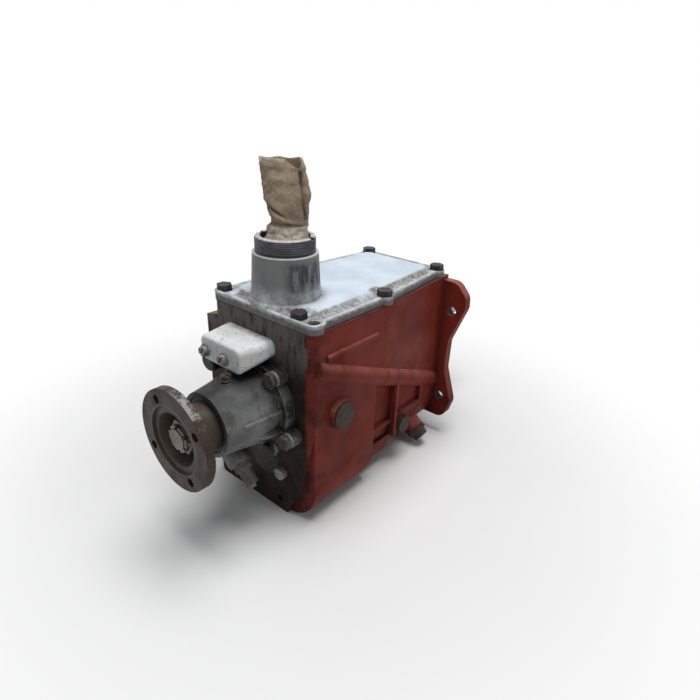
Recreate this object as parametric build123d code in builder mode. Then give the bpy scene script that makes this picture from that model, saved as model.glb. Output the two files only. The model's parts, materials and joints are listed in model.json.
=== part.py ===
"""A four-speed truck gearbox with an open lever tower and an output flange.

X points forward to the engine, Y to the left and Z up, in millimetres.
The origin is where the shaft line meets the front mounting face.
A station is a distance behind that face, so it lies at X = -station.
"""
from math import acos, atan2, cos, degrees, pi, radians, sin, tan
import os

from build123d import *

os.makedirs("parts", exist_ok=True)

# Gear train
shaft_distance = 85.0
input_teeth = 17
drive_teeth = 51
third_teeth = 22
third_cluster_teeth = 44
second_teeth = 34
second_cluster_teeth = 34
first_teeth = 44
first_pinion_teeth = 24
reverse_pinion_teeth = 17
idler_teeth = 24
dog_teeth = 24
pressure_angle = 20.0
backlash = 0.35

# Clearances
running_gap = 0.05
slide_gap = 0.3
gear_side_gap = 1.0

# Stations along the shafts
input_bearing_width = 23.0
drive_gear_start = 31.0
gear_width = 22.0
dog_width = 6.0
dog_neck = 3.0
hub_start = 73.0
hub_width = 22.0
sleeve_overhang = 2.0
third_gear_start = 115.0
second_gear_start = 144.0
lug_start = 169.0
lug_width = 10.0
idler_start = 181.0
idler_width = 18.0
first_pinion_start = 234.0
first_pinion_width = 20.0
first_travel = 22.0
second_travel = 10.0
sleeve_travel = 12.5
output_bearing_width = 25.0
rear_room = 11.0

# Shaft and bearing radii
input_bearing_radius = 45.0
output_bearing_radius = 50.0
input_seat_radius = 20.0
output_seat_radius = 22.5
ring_thickness = 6.5
bearing_balls = 9
cluster_bearing_radius = 26.0
cluster_bearing_width = 15.0
cluster_inset = 3.0
cluster_seat_radius = 12.5
cluster_ring_thickness = 3.5
cluster_rollers = 10
cluster_shaft_radius = 18.0
pilot_radius = 9.0
pilot_bore_radius = 13.0
pilot_rollers = 10
hub_seat_radius = 16.0
third_journal_radius = 18.0
second_journal_radius = 22.0
spline_depth = 3.0
spline_count = 10
idler_shaft_radius = 10.0
dog_root_radius = 30.0
dog_height = 3.0
cone_radius = 27.6
cone_fall = 1.4

# Case
case_wall = 8.0
sump_wall = 5.0
sump_gap = 1.75
front_wall = 12.0
rear_wall = 20.0
seat_height = 108.0
seat_lip = 10.0
seat_width = 11.0
side_reach = 85.0
left_reach = 100.0
front_half_width = 72.0
taper_station = 167.0
shoulder_height = -20.0
front_plate_thickness = 14.0
front_seat_depth = 1.5
ear_hole_radius = 7.5
upper_ear_reach = 91.0
upper_ear_height = 58.0
lower_ear_reach = 86.0
lower_ear_height = -88.0
foot_thickness = 16.0
boss_wall = 7.0

# Top cover and lever tower
gasket_thickness = 1.0
cover_thickness = 10.0
cover_rise = 6.0
cover_bolt_radius = 5.0
cover_bolt_depth = 20.0
cover_ear_radius = 11.5
rear_bolt_inset = 12.2
rear_bolt_edge = 8.4
inboard_bolt_reach = 54.0
side_bolt_station = 166.7
front_bolt_station = 21.7
front_bolt_reach = 62.9
spot_face_radius = 10.0
spot_face_depth = 2.0
empty_hole_radius = 7.0
tower_inset = 44.6
tower_foot_radius = 41.5
tower_ledge_radius = 38.5
tower_ledge_height = 177.7
tower_thread_radius = 34.9
tower_height = 196.3
tower_bore_radius = 29.0
tower_slot_width = 8.0
tower_slot_depth = 13.0

# Rear cover, seal and flange
rear_gasket_thickness = 0.8
rear_cover_radius = 58.0
rear_cover_flange = 12.0
rear_cover_lobe = 10.0
rear_cover_reach = 82.0
rear_cover_rim_radius = 39.8
rear_cover_bore = 36.0
seal_width = 12.0
seal_radius = 34.0
flange_reach = 123.0
flange_thickness = 10.0
flange_radius = 60.0
flange_pcd = 97.4
flange_hole_radius = 5.2
flange_hole_angle = 59.6
flange_pilot_radius = 40.2
flange_pilot_depth = 3.0
flange_pocket_radius = 32.0
flange_hub_radius = 28.5
flange_hub_reach = 62.0
flange_seat_depth = 25.0
output_nose_radius = 18.0
nut_across_flats = 36.0
nut_thread_radius = 12.0

# Front cover
front_cover_radius = 60.0
front_seat_radius = 61.0
front_cover_thickness = 10.0
front_bolt_circle = 51.5
quill_radius = 22.0
quill_length = 95.0
input_shaft_radius = 16.5
input_length = 168.0

# Speedometer drive
speedo_reach = 48.0
worm_radius = 22.0
speedo_gear_radius = 14.0
speedo_gear_width = 16.0
speedo_teeth = 12
speedo_shaft_radius = 4.0
speedo_thread_radius = 8.0
speedo_boss_radius = 15.0
speedo_angle = 45.0
speedo_length = 85.6
speedo_face = 57.3

# Shift rails, forks and their cover
rail_radius = 7.5
rail_depth = 38.0
high_rail_side = -8.0
low_rail_side = 28.75
reverse_rail_inset = 21.0
reverse_rail_height = 38.0
rail_front = 16.0
rail_stand_out = 6.0
reverse_rail_front = 135.0
reverse_rail_end_inset = 14.0
fork_gap = 0.5
fork_thickness = 7.0
fork_boss_length = 24.0
fork_boss_radius = 13.0
detent_station = 46.0
detent_ball_radius = 4.0
end_cover_length = 43.0
end_screw_radius = 3.5

# Fasteners and plugs
bolt_flats = 17.0
bolt_head = 7.0
washer_thickness = 2.2
washer_radius = 9.2
small_bolt_radius = 4.0
small_bolt_flats = 13.0
small_bolt_head = 5.5
side_plug_radius = 17.5
side_plug_depth = 19.0
plug_thread_radius = 8.0
filler_boss_radius = 15.0
drain_boss_radius = 17.0
drain_flats = 27.0
filler_depth = 16.0
rear_bolt_depth = 16.0
front_bolt_depth = 16.0
end_screw_depth = 10.0
foot_hole_depth = 12.0
cluster_front = 5.0

# Worked out from the sizes above
teeth_module = 2 * shaft_distance / (input_teeth + drive_teeth)
third_module = 2 * shaft_distance / (third_teeth + third_cluster_teeth)
second_module = 2 * shaft_distance / (second_teeth + second_cluster_teeth)
first_module = 2 * shaft_distance / (first_teeth + first_pinion_teeth)
cluster_axis = (0.0, -shaft_distance)
drive_tip = teeth_module * (drive_teeth / 2 + 1)
sump_radius = drive_tip + sump_gap
case_bottom = -shaft_distance - sump_radius - sump_wall
cover_seat = seat_height + gasket_thickness
cover_top = cover_seat + cover_thickness
dog_tip_radius = dog_root_radius + dog_height
spline_root_radius = second_journal_radius - spline_depth
hub_middle = hub_start + hub_width / 2
hub_end = hub_start + hub_width
input_dog_start = drive_gear_start + gear_width + gear_side_gap + dog_neck
cone_end = input_dog_start + dog_width + 7
third_dog_start = 2 * hub_middle - input_dog_start - dog_width
second_dog_start = second_gear_start + gear_width + gear_side_gap + dog_neck
first_gear_start = first_pinion_start - first_travel
reverse_travel = first_gear_start - idler_start
low_hub_start = second_dog_start + dog_width + 5
low_hub_radius = dog_tip_radius + 5
low_groove_start = first_gear_start + idler_width + 6
groove_width = fork_thickness + 2 * fork_gap
low_groove_radius = low_hub_radius - 7
low_hub_end = low_groove_start + groove_width + 4
case_length = low_hub_end + first_travel + rear_room + output_bearing_width
output_bearing_start = case_length - output_bearing_width
cluster_rear = case_length - cluster_inset - cluster_bearing_width
rear_cover_start = case_length + rear_gasket_thickness
rear_flange_end = rear_cover_start + rear_cover_flange
sleeve_radius = dog_tip_radius + 9
sleeve_groove_radius = sleeve_radius - 4.5
idler_collar_radius = idler_shaft_radius + 8
idler_groove_radius = idler_collar_radius - 3.5
idler_groove_start = idler_start + idler_width + 3.5
rear_bolt_station = case_length - rear_bolt_inset
rear_bolt_reach = side_reach - rear_bolt_edge
bolt_seat = cover_top - spot_face_depth
tower_station = case_length - tower_inset
rear_cover_rim_station = case_length + rear_cover_reach
flange_station = case_length + flange_reach
flange_hub_start = case_length + flange_hub_reach
flange_seat_station = flange_station - flange_seat_depth
speedo_station = case_length + speedo_reach
rail_height = seat_height - rail_depth
reverse_rail_side = side_reach - reverse_rail_inset
reverse_rail_rear = case_length - reverse_rail_end_inset
end_cover_rear = case_length + end_cover_length

# Places given as (side, height) on a section, or (station, side) seen from above
cover_bolts_at = (
    (rear_bolt_station, rear_bolt_reach),
    (rear_bolt_station, -inboard_bolt_reach),
    (side_bolt_station, rear_bolt_reach),
    (side_bolt_station, -rear_bolt_reach),
    (front_bolt_station, front_bolt_reach),
    (front_bolt_station, -front_bolt_reach),
)
empty_hole_at = (rear_bolt_station, -rear_bolt_reach)
rails_at = ((high_rail_side, rail_height), (low_rail_side, rail_height))
reverse_rail_at = (reverse_rail_side, reverse_rail_height)
rear_bolts_at = (
    (-38.0, 46.0),
    (-60.0, -28.0),
    (-30.0, -54.0),
    (40.0, 43.0),
    (60.0, -28.0),
    (30.0, -54.0),
)
end_screw_height = rail_height - 5.5
end_screws_at = ((46.0, end_screw_height), (11.5, end_screw_height))
front_bolts_at = [
    (front_bolt_circle * cos(radians(angle)), front_bolt_circle * sin(radians(angle)))
    for angle in (45, 135, 225, 315)
]
upper_ears_at = ((-upper_ear_reach, upper_ear_height), (upper_ear_reach, upper_ear_height))
lower_ears_at = ((-lower_ear_reach, lower_ear_height), (lower_ear_reach, lower_ear_height))
rear_plug_at = (-35.0, -95.0)
foot_hole_at = (-28.0, -141.0)


def circle_meeting(first_reach, second_reach):
    """The point to the left of both shafts at these distances from them."""
    height = (second_reach**2 - first_reach**2 - shaft_distance**2) / (2 * shaft_distance)
    return ((first_reach**2 - height**2) ** 0.5, height)


def direction_from(start, end):
    return degrees(atan2(end[1] - start[1], end[0] - start[0]))


def meshing_angle(angle, teeth, direction, mate_teeth):
    """Where a mate in that direction needs a tooth, for a gear with a tooth at angle."""
    return direction + 180 - (angle - direction) * teeth / mate_teeth + 180 / mate_teeth


idler_axis = circle_meeting(
    first_module * (first_teeth + idler_teeth) / 2,
    first_module * (reverse_pinion_teeth + idler_teeth) / 2,
)

# Each tooth angle follows from the gear that it meshes with
drive_angle = meshing_angle(0, input_teeth, -90, drive_teeth)
third_cluster_angle = meshing_angle(0, third_teeth, -90, third_cluster_teeth)
second_cluster_angle = meshing_angle(0, second_teeth, -90, second_cluster_teeth)
first_pinion_angle = meshing_angle(0, first_teeth, -90, first_pinion_teeth)
idler_angle = meshing_angle(0, first_teeth, direction_from((0, 0), idler_axis), idler_teeth)
reverse_pinion_angle = meshing_angle(
    idler_angle, idler_teeth, direction_from(idler_axis, cluster_axis), reverse_pinion_teeth
)


def save(piece, name):
    piece.label = name
    export_step(piece, f"parts/{name}.step")


def section(station):
    """The plane across the gearbox at a station, with Y right and Z up on it."""
    return Plane.YZ.offset(-station)


def side_plane(reach, station, height):
    """The plane facing right, at a distance out from the shaft line."""
    return Plane(origin=(-station, -reach, height), x_dir=(1, 0, 0), z_dir=(0, -1, 0))


def involute(angle):
    return tan(angle) - angle


def half_tooth(teeth, module, radius):
    """Half the angle, in radians, of an involute tooth at a radius."""
    pressure = radians(pressure_angle)
    at_radius = acos(min(1.0, module * teeth / 2 * cos(pressure) / radius))
    whole = pi / (2 * teeth) + involute(pressure) - involute(at_radius)
    return whole - backlash / 2 / radius


def tooth_points(teeth, root, tip, root_half, tip_half, angle=0.0):
    """The outline of a ring of straight-sided teeth, one of them at the angle given."""
    points = []
    for tooth in range(teeth):
        middle = radians(angle + 360 * tooth / teeth)
        for radius, turn in ((root, -root_half), (tip, -tip_half), (tip, tip_half), (root, root_half)):
            points.append((radius * cos(middle + turn), radius * sin(middle + turn)))
    return points


def gear_points(teeth, module, angle=0.0):
    pitch = module * teeth / 2
    tip = pitch + module
    root = pitch - 1.25 * module
    root_half = half_tooth(teeth, module, max(root, pitch * cos(radians(pressure_angle))))
    return tooth_points(teeth, root, tip, root_half, half_tooth(teeth, module, tip), angle)


def dog_points(gap=0.0):
    """The ring of dog teeth, or with a gap the spaces that slide over it."""
    half = pi / (2 * dog_teeth)
    root = dog_root_radius + gap
    tip = dog_tip_radius + gap
    flank = gap / 2 if gap else -0.1
    return tooth_points(dog_teeth, root, tip, half + flank / root, half * 0.8 + flank / tip)


def spline_points(root, tip, gap=0.0):
    half = pi / (2 * spline_count)
    tip_half = half * root / tip + gap / tip
    return tooth_points(spline_count, root + gap, tip + gap, half + gap / root, tip_half)


def disc(start, end, radius, bore=0.0, at=(0.0, 0.0)):
    """A plain ring or disc about an axis along X, between two stations."""
    with BuildPart() as piece:
        with BuildSketch(section(start)):
            with Locations(at):
                Circle(radius)
                if bore > 0:
                    Circle(bore, mode=Mode.SUBTRACT)
        extrude(amount=start - end)
    return piece.part


def toothed(start, end, points, at=(0.0, 0.0), bore=0.0):
    """A wheel of the outline given, between two stations."""
    with BuildPart() as piece:
        with BuildSketch(section(start)):
            with BuildLine():
                Polyline([(y + at[0], z + at[1]) for y, z in points], close=True)
            make_face()
            if bore > 0:
                with Locations(at):
                    Circle(bore, mode=Mode.SUBTRACT)
        extrude(amount=start - end)
    return piece.part


def turned(profile):
    """A piece turned about the shaft line, from (station, radius) corners."""
    with BuildPart() as piece:
        with BuildSketch(Plane.XZ):
            with BuildLine():
                Polyline([(-station, radius) for station, radius in profile], close=True)
            make_face()
        revolve(axis=Axis.X)
    return piece.part


def pegs(start, end, radius, places):
    """Round pins or holes along X at several (side, height) places."""
    with BuildPart() as pins:
        with BuildSketch(section(start)):
            with Locations(*places):
                Circle(radius)
        extrude(amount=start - end)
    return pins.part


def posts(low, high, radius, places):
    """Round pins or holes along Z at several (station, side) places."""
    with BuildPart() as pins:
        with BuildSketch(Plane.XY.offset(low)):
            with Locations(*[(-station, side) for station, side in places]):
                Circle(radius)
        extrude(amount=high - low)
    return pins.part


def plate(low, high, outline, corner):
    """A level plate with rounded corners, its outline in (station, side) points."""
    with BuildPart() as piece:
        with BuildSketch(Plane.XY.offset(low)) as shape:
            with BuildLine():
                Polyline([(-station, side) for station, side in outline], close=True)
            make_face()
            fillet(shape.vertices(), radius=corner)
        extrude(amount=high - low)
    return piece.part


def bar(start, end, radius):
    """A round bar between two points, given as station, side and height."""
    first = Vector(-start[0], start[1], start[2])
    run = Vector(-end[0], end[1], end[2]) - first
    with BuildPart() as piece:
        with BuildSketch(Plane(origin=first, z_dir=run)):
            Circle(radius)
        extrude(amount=run.length)
    return piece.part


# Case
bulge_start = 184.0
bulge_rear = case_length - 6
bulge_top = 5.0
bulge_corner = 50.0
idler_bay_start = 157.0
idler_bay_top = 84.0
idler_bay_corner = 40.0
bay_slope = 14.0
side_box_near = 65.0
side_rib_radius = 15.0
side_rib_rear = (case_length - 10, -76.0, 62.0)
side_rib_middle = (taper_station, -76.0, 5.6)
side_rib_front = (8.0, -63.5, -64.0)
side_rib_half = 13.0
ridge_ends = ((281.0, -83.0, 73.5), (189.0, -83.0, 73.5))
ridge_radius = 5.0
pocket_floor = 73.0
pocket_wall = 5.0
pocket_low = -78.0
pocket_stations = ((184.0, 136.0), (128.0, 62.0))
shelf_height = -108.0
shelf_reach = 74.0
shelf_corner = 45.0
shelf_start = 60.0
upright_rib_station = 132.0
upright_rib_width = 6.0
side_plug_station = case_length - 49
side_plug_height = -8.0
side_boss_height = 7.0
side_plug_face = side_reach + side_boss_height
filler_station = 113.0
filler_height = -94.0
filler_face = 79.0
drain_station = 61.0
drain_angle = 32.0
drain_face = 90.0
rail_boss_end = 56.0
column_depth = 32.0
web_edge = 8.0
right_ear = (
    (-48.0, -125.0),
    (-97.0, -126.0),
    (-107.0, -92.0),
    (-90.0, -40.0),
    (-91.0, 8.0),
    (-113.0, 66.0),
    (-112.0, 84.0),
    (-95.0, 103.0),
)


def block(inset, rear, front, top):
    """The case's main block, or with an inset the hollow inside it."""
    wide = side_reach - inset
    narrow = front_half_width - inset
    round_part = sump_radius if inset else sump_radius + sump_wall
    low = -shaft_distance - round_part
    with BuildPart() as piece:
        with BuildSketch(Plane.XY.offset(low)):
            with BuildLine():
                Polyline(
                    (-rear, -wide),
                    (-taper_station, -wide),
                    (0, -narrow),
                    (0, narrow),
                    (-taper_station, wide),
                    (-rear, wide),
                    close=True,
                )
            make_face()
        extrude(amount=top - low)
        with BuildSketch(section(rear)):
            with BuildLine():
                Polyline(
                    (-round_part, -shaft_distance),
                    (-wide, shoulder_height),
                    (-wide, top),
                    (wide, top),
                    (wide, shoulder_height),
                    (round_part, -shaft_distance),
                )
                ThreePointArc((round_part, -shaft_distance), (0, low), (-round_part, -shaft_distance))
            make_face()
        extrude(amount=rear - front, mode=Mode.INTERSECT)
    return piece.part


def side_box(rear, front, near, far, low, top, corner, slope):
    """A box on one side of the case with a round lower corner and a sloping top."""
    with BuildPart() as piece:
        with BuildSketch(section(rear)) as outline:
            with BuildLine():
                Polyline((near, low), (far, low), (far, top), (near, top + slope), close=True)
            make_face()
            lowest = outline.vertices().group_by(Axis.Y)[0].sort_by(Axis.X)
            fillet(lowest[-1] if far > near else lowest[0], radius=corner)
        extrude(amount=rear - front)
    return piece.part


def front_plate():
    """The mounting plate with its four bolt ears."""
    left_ear = [(-side, height) for side, height in reversed(right_ear)]
    with BuildPart() as piece:
        with BuildSketch(section(front_plate_thickness)) as outline:
            with BuildLine():
                Polyline(*right_ear, *left_ear, close=True)
            make_face()
            fillet(outline.vertices(), radius=18)
        extrude(amount=front_plate_thickness)
    return piece.part


def rear_foot():
    """The flat foot under the rear face, the lowest part of the case."""
    corners = (
        (-78.0, -58.0),
        (-52.0, -130.0),
        (-43.0, case_bottom),
        (left_reach - 9, case_bottom),
        (left_reach - 4, -58.0),
    )
    with BuildPart() as piece:
        with BuildSketch(section(case_length)) as outline:
            with BuildLine():
                Polyline(*corners, close=True)
            make_face()
            fillet(outline.vertices().group_by(Axis.Y)[0], radius=6)
        extrude(amount=foot_thickness)
    return piece.part


def idler_web():
    """The web inside the left wall that holds the idler shaft and the reverse rail."""
    outer = left_reach - case_wall
    idler_side, idler_height = idler_axis
    with BuildPart() as piece:
        with BuildSketch(section(lug_start + lug_width)):
            with BuildLine():
                Polyline(
                    (idler_side, idler_height + 16),
                    (reverse_rail_side - 11, reverse_rail_height - 6),
                    (reverse_rail_side - 11, reverse_rail_height + 10),
                    (side_reach - web_edge + 1, reverse_rail_height + 14),
                    (side_reach - web_edge + 1, shoulder_height),
                    (outer, shoulder_height - 20),
                    (outer, idler_height - 20),
                    (idler_side, idler_height - 16),
                    close=True,
                )
            make_face()
            with Locations(idler_axis):
                Circle(16)
            with Locations(reverse_rail_at):
                Circle(11.5)
        extrude(amount=lug_width)
    return piece.part


def drain_plane(reach):
    """The plane square to the drain plug, at a distance from the countershaft."""
    out = Vector(0, -cos(radians(drain_angle)), -sin(radians(drain_angle)))
    middle = Vector(-drain_station, 0, -shaft_distance) + out * reach
    return Plane(origin=middle, x_dir=(1, 0, 0), z_dir=out)


def rib_line(station):
    """The height of the side rib's lower edge at a station."""
    slope = (side_rib_rear[2] - side_rib_front[2]) / (side_rib_rear[0] - side_rib_front[0])
    return side_rib_front[2] + slope * (station - side_rib_front[0]) - side_rib_half


def under_rib(rear, front, low, inner, outer, over):
    """A slab below the side rib, its top that much over the rib's lower edge."""
    with BuildPart() as slab:
        with BuildSketch(side_plane(inner, 0, 0)):
            with BuildLine():
                Polyline(
                    (-rear, low),
                    (-front, min(low, rib_line(front) + over - 2)),
                    (-front, rib_line(front) + over),
                    (-rear, rib_line(rear) + over),
                    close=True,
                )
            make_face()
        extrude(amount=outer - inner)
    return slab.part


seat_opening = (
    (case_length - rear_wall - 3, side_reach - case_wall - seat_width),
    (taper_station, side_reach - case_wall - seat_width),
    (rail_boss_end + 2, front_half_width - case_wall - seat_width),
)
seat_hole = seat_opening + tuple((station, -side) for station, side in reversed(seat_opening))

low_columns = [place for place in cover_bolts_at if place[0] < rear_bolt_station]
column_radius = rear_bolt_edge - 0.1
case_shell = block(0, case_length, 0, seat_height)
case_lumps = [
    side_box(bulge_rear, bulge_start, side_box_near - side_reach, -side_reach, case_bottom,
             bulge_top, bulge_corner, 0),
    side_box(case_length, idler_bay_start, left_reach - side_box_near, left_reach, case_bottom,
             idler_bay_top, idler_bay_corner, bay_slope),
    rear_foot(),
    front_plate(),
    bar(side_rib_rear, side_rib_middle, side_rib_radius),
    bar(side_rib_middle, side_rib_front, side_rib_radius),
    bar(*ridge_ends, ridge_radius),
    side_box(bulge_start, upright_rib_station, shelf_start - side_reach, -shelf_reach,
             case_bottom, shelf_height, shelf_corner, 0),
]
case_hollows = [
    block(case_wall, case_length - rear_wall, front_wall, seat_height - seat_lip),
    side_box(bulge_rear - 2 * case_wall, bulge_start + case_wall, side_box_near - side_reach,
             case_wall - side_reach, case_bottom + case_wall, bulge_top - case_wall,
             bulge_corner - case_wall, 0),
    side_box(case_length - rear_wall, idler_bay_start + case_wall, left_reach - side_box_near,
             left_reach - case_wall, case_bottom + case_wall, idler_bay_top - case_wall,
             idler_bay_corner - case_wall, bay_slope),
    plate(seat_height - seat_lip - 1, seat_height, seat_hole, 8),
]
case_bosses = [
    posts(seat_height - column_depth, seat_height, column_radius, low_columns),
    under_rib(bulge_start + case_wall, 56, pocket_low - 6, pocket_floor - pocket_wall,
              side_reach - 6, 6),
    disc(front_wall, input_bearing_width, input_bearing_radius + boss_wall),
    disc(output_bearing_start, case_length - 1, output_bearing_radius + boss_wall),
    disc(front_wall, cluster_front + cluster_bearing_width, cluster_bearing_radius + boss_wall,
         at=cluster_axis),
    idler_web(),
]
case_bores = [
    disc(-1, front_seat_depth, front_seat_radius + 0.2),
    disc(-1, input_bearing_width + 1, input_bearing_radius),
    disc(output_bearing_start - 1, case_length + 1, output_bearing_radius),
    disc(-1, cluster_front + cluster_bearing_width + 1, cluster_bearing_radius, at=cluster_axis),
    disc(case_length - rear_wall - 1, case_length + 1, cluster_bearing_radius, at=cluster_axis),
    disc(lug_start - 1, case_length + 1, idler_shaft_radius, at=idler_axis),
    pegs(rail_front - sleeve_travel - 1, case_length + 1, rail_radius + running_gap, rails_at),
    disc(lug_start - 1, case_length + 1, rail_radius + running_gap, at=reverse_rail_at),
    posts(seat_height - cover_bolt_depth, seat_height + 1, cover_bolt_radius,
          cover_bolts_at + (empty_hole_at,)),
    posts(rail_height, seat_height + 1, detent_ball_radius,
          [(detent_station, side) for side, height in rails_at]),
    pegs(-1, front_plate_thickness + 1, ear_hole_radius, upper_ears_at + lower_ears_at),
    pegs(case_length - rear_bolt_depth, case_length + 1, cover_bolt_radius, rear_bolts_at),
    pegs(case_length - end_screw_depth, case_length + 1, end_screw_radius, end_screws_at),
    pegs(-1, front_bolt_depth, small_bolt_radius, front_bolts_at),
    pegs(case_length - foot_hole_depth, case_length + 1, cover_bolt_radius,
         [rear_plug_at, foot_hole_at]),
    *[under_rib(rear, front, pocket_low, pocket_floor, left_reach, 0)
      for rear, front in pocket_stations],
]

with BuildPart() as gearbox_case:
    add(case_shell)
    fillet(gearbox_case.edges().filter_by(Axis.Z).group_by(Axis.X)[0], radius=11)
    add(case_lumps)
    with BuildSketch(side_plane(60, upright_rib_station, -60)):
        Rectangle(upright_rib_width, 92)
    extrude(amount=side_reach - 60)
    with BuildSketch(side_plane(side_reach - 10, side_plug_station, side_plug_height)):
        Circle(side_plug_radius + 4)
    extrude(amount=10 + side_boss_height, taper=8)
    with BuildSketch(side_plane(60, filler_station, filler_height)):
        Circle(filler_boss_radius)
    extrude(amount=filler_face - 60)
    with BuildSketch(drain_plane(sump_radius)):
        Circle(drain_boss_radius)
    extrude(amount=drain_face - sump_radius, taper=5)
    add(case_hollows, mode=Mode.SUBTRACT)
    add(case_bosses)
    with BuildSketch(Plane.XY.offset(rail_height - 14)):
        with Locations((-rail_boss_end / 2, (high_rail_side + low_rail_side) / 2)):
            Rectangle(rail_boss_end, low_rail_side - high_rail_side + 28)
    extrude(amount=seat_height - rail_height + 14)
    add(case_bores, mode=Mode.SUBTRACT)
    with BuildSketch(side_plane(side_plug_face, side_plug_station, side_plug_height)):
        Circle(side_plug_radius - 4)
    extrude(amount=-side_plug_depth, mode=Mode.SUBTRACT)
    with BuildSketch(side_plane(filler_face, filler_station, filler_height)):
        Circle(plug_thread_radius)
    extrude(amount=-filler_depth, mode=Mode.SUBTRACT)
    with BuildSketch(drain_plane(drain_face)):
        Circle(plug_thread_radius)
    extrude(amount=-filler_depth, mode=Mode.SUBTRACT)
save(gearbox_case.part, "gearbox_case")


def hex_bolts(start, places, shank, flats, head, depth, washer=0.0):
    """Hexagon bolts pointing forward, their washers seated on the face at a station."""
    with BuildPart() as bolts:
        with BuildSketch(section(start + washer)):
            with Locations(*places):
                RegularPolygon(flats / 2, 6, major_radius=False)
        extrude(amount=-head)
        with BuildSketch(section(start + washer)):
            with Locations(*places):
                Circle(shank)
        extrude(amount=depth + washer)
    return bolts.part


def washers(start, thickness, outer, inner, places):
    with BuildPart() as rings:
        with BuildSketch(section(start)):
            with Locations(*places):
                Circle(outer)
                Circle(inner, mode=Mode.SUBTRACT)
        extrude(amount=-thickness)
    return rings.part


def together(pieces):
    """Several separate solids kept as one sub-part."""
    return Compound(children=list(pieces))


# Top cover with the lever tower
cover_edge = 3.0
cover_outline = (
    (case_length - 0.5, side_reach - cover_edge),
    (taper_station, side_reach - cover_edge),
    (front_bolt_station - 9, front_half_width - 4),
)
cover_sides = cover_outline + tuple((station, -side) for station, side in reversed(cover_outline))
raised_outline = (
    (case_length - 24, side_reach - 26),
    (taper_station, side_reach - 24),
    (front_bolt_station + 16, front_half_width - 24),
)
raised_sides = raised_outline + tuple((station, -side) for station, side in reversed(raised_outline))
cover_holes_at = cover_bolts_at + (empty_hole_at,)
cover_wall = 7.0
gasket = plate(seat_height, cover_seat, cover_sides, 10)
gasket_ears = posts(seat_height, cover_seat, cover_ear_radius, cover_holes_at)
gasket_cuts = [
    plate(seat_height, cover_seat, seat_hole, 8),
    posts(seat_height, cover_seat, cover_bolt_radius + slide_gap, cover_holes_at),
]
with BuildPart() as cover_gasket:
    add(gasket)
    add(gasket_ears)
    add(gasket_cuts, mode=Mode.SUBTRACT)
save(cover_gasket.part, "cover_gasket")

cover_plate = plate(cover_seat, cover_top, cover_sides, 10)
cover_ears = posts(cover_seat, cover_top, cover_ear_radius, cover_holes_at)
cover_bolt_holes = [
    posts(cover_seat - 1, cover_top + 1, cover_bolt_radius + slide_gap, cover_bolts_at),
    posts(cover_seat - 1, cover_top + 1, empty_hole_radius, [empty_hole_at]),
]
spot_faces = posts(bolt_seat, cover_top + cover_rise, spot_face_radius, cover_bolts_at)
with BuildPart() as top_cover:
    add(cover_plate)
    add(cover_ears)
    with BuildSketch(Plane.XY.offset(cover_top)) as raised:
        with BuildLine():
            Polyline([(-station, side) for station, side in raised_sides], close=True)
        make_face()
        fillet(raised.vertices(), radius=14)
    extrude(amount=cover_rise, taper=35)
    with BuildSketch(Plane.XY.offset(cover_seat)) as hollow:
        with BuildLine():
            Polyline([(-station, side) for station, side in raised_sides], close=True)
        make_face()
        fillet(hollow.vertices(), radius=14)
    extrude(amount=cover_thickness + cover_rise - cover_wall, taper=8, mode=Mode.SUBTRACT)
    with BuildSketch(section(tower_station)):
        with BuildLine():
            Polyline(
                (0, cover_top - 2),
                (tower_foot_radius + 5, cover_top - 2),
                (tower_foot_radius + 5, cover_top),
                (tower_foot_radius, cover_top + cover_rise),
                (tower_ledge_radius, tower_ledge_height),
                (tower_thread_radius, tower_ledge_height),
                (tower_thread_radius, tower_height - 1.5),
                (tower_thread_radius - 1.5, tower_height),
                (0, tower_height),
                close=True,
            )
        make_face()
    revolve(axis=Axis((-tower_station, 0, 0), (0, 0, 1)))
    with BuildSketch(Plane.XY.offset(cover_seat - 1)):
        with Locations((-tower_station, 0)):
            Circle(tower_bore_radius)
    extrude(amount=tower_height - cover_seat + 2, mode=Mode.SUBTRACT)
    with BuildSketch(Plane.XY.offset(tower_height - tower_slot_depth)):
        with Locations(Location((-tower_station, 0), 20)):
            Rectangle(tower_slot_width, 3 * tower_thread_radius)
    extrude(amount=tower_slot_depth + 1, mode=Mode.SUBTRACT)
    add(cover_bolt_holes, mode=Mode.SUBTRACT)
    add(spot_faces, mode=Mode.SUBTRACT)
    with BuildSketch(Plane.YZ.offset(-case_length - 9)):
        with Locations((0, cover_top)):
            Rectangle(4 * side_reach, 8 * cover_thickness)
    extrude(amount=8.9, mode=Mode.SUBTRACT)
save(top_cover.part, "top_cover")

with BuildPart() as cover_bolts:
    with BuildSketch(Plane.XY.offset(bolt_seat + washer_thickness)):
        with Locations(*[(-station, side) for station, side in cover_bolts_at]):
            RegularPolygon(bolt_flats / 2, 6, major_radius=False)
    extrude(amount=bolt_head)
    with BuildSketch(Plane.XY.offset(seat_height - cover_bolt_depth + 2)):
        with Locations(*[(-station, side) for station, side in cover_bolts_at]):
            Circle(cover_bolt_radius)
    extrude(amount=bolt_seat + washer_thickness - seat_height + cover_bolt_depth - 2)
save(cover_bolts.part, "cover_bolts")

with BuildPart() as cover_washers:
    with BuildSketch(Plane.XY.offset(bolt_seat)):
        with Locations(*[(-station, side) for station, side in cover_bolts_at]):
            Circle(washer_radius)
            Circle(cover_bolt_radius, mode=Mode.SUBTRACT)
    extrude(amount=washer_thickness)

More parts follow.
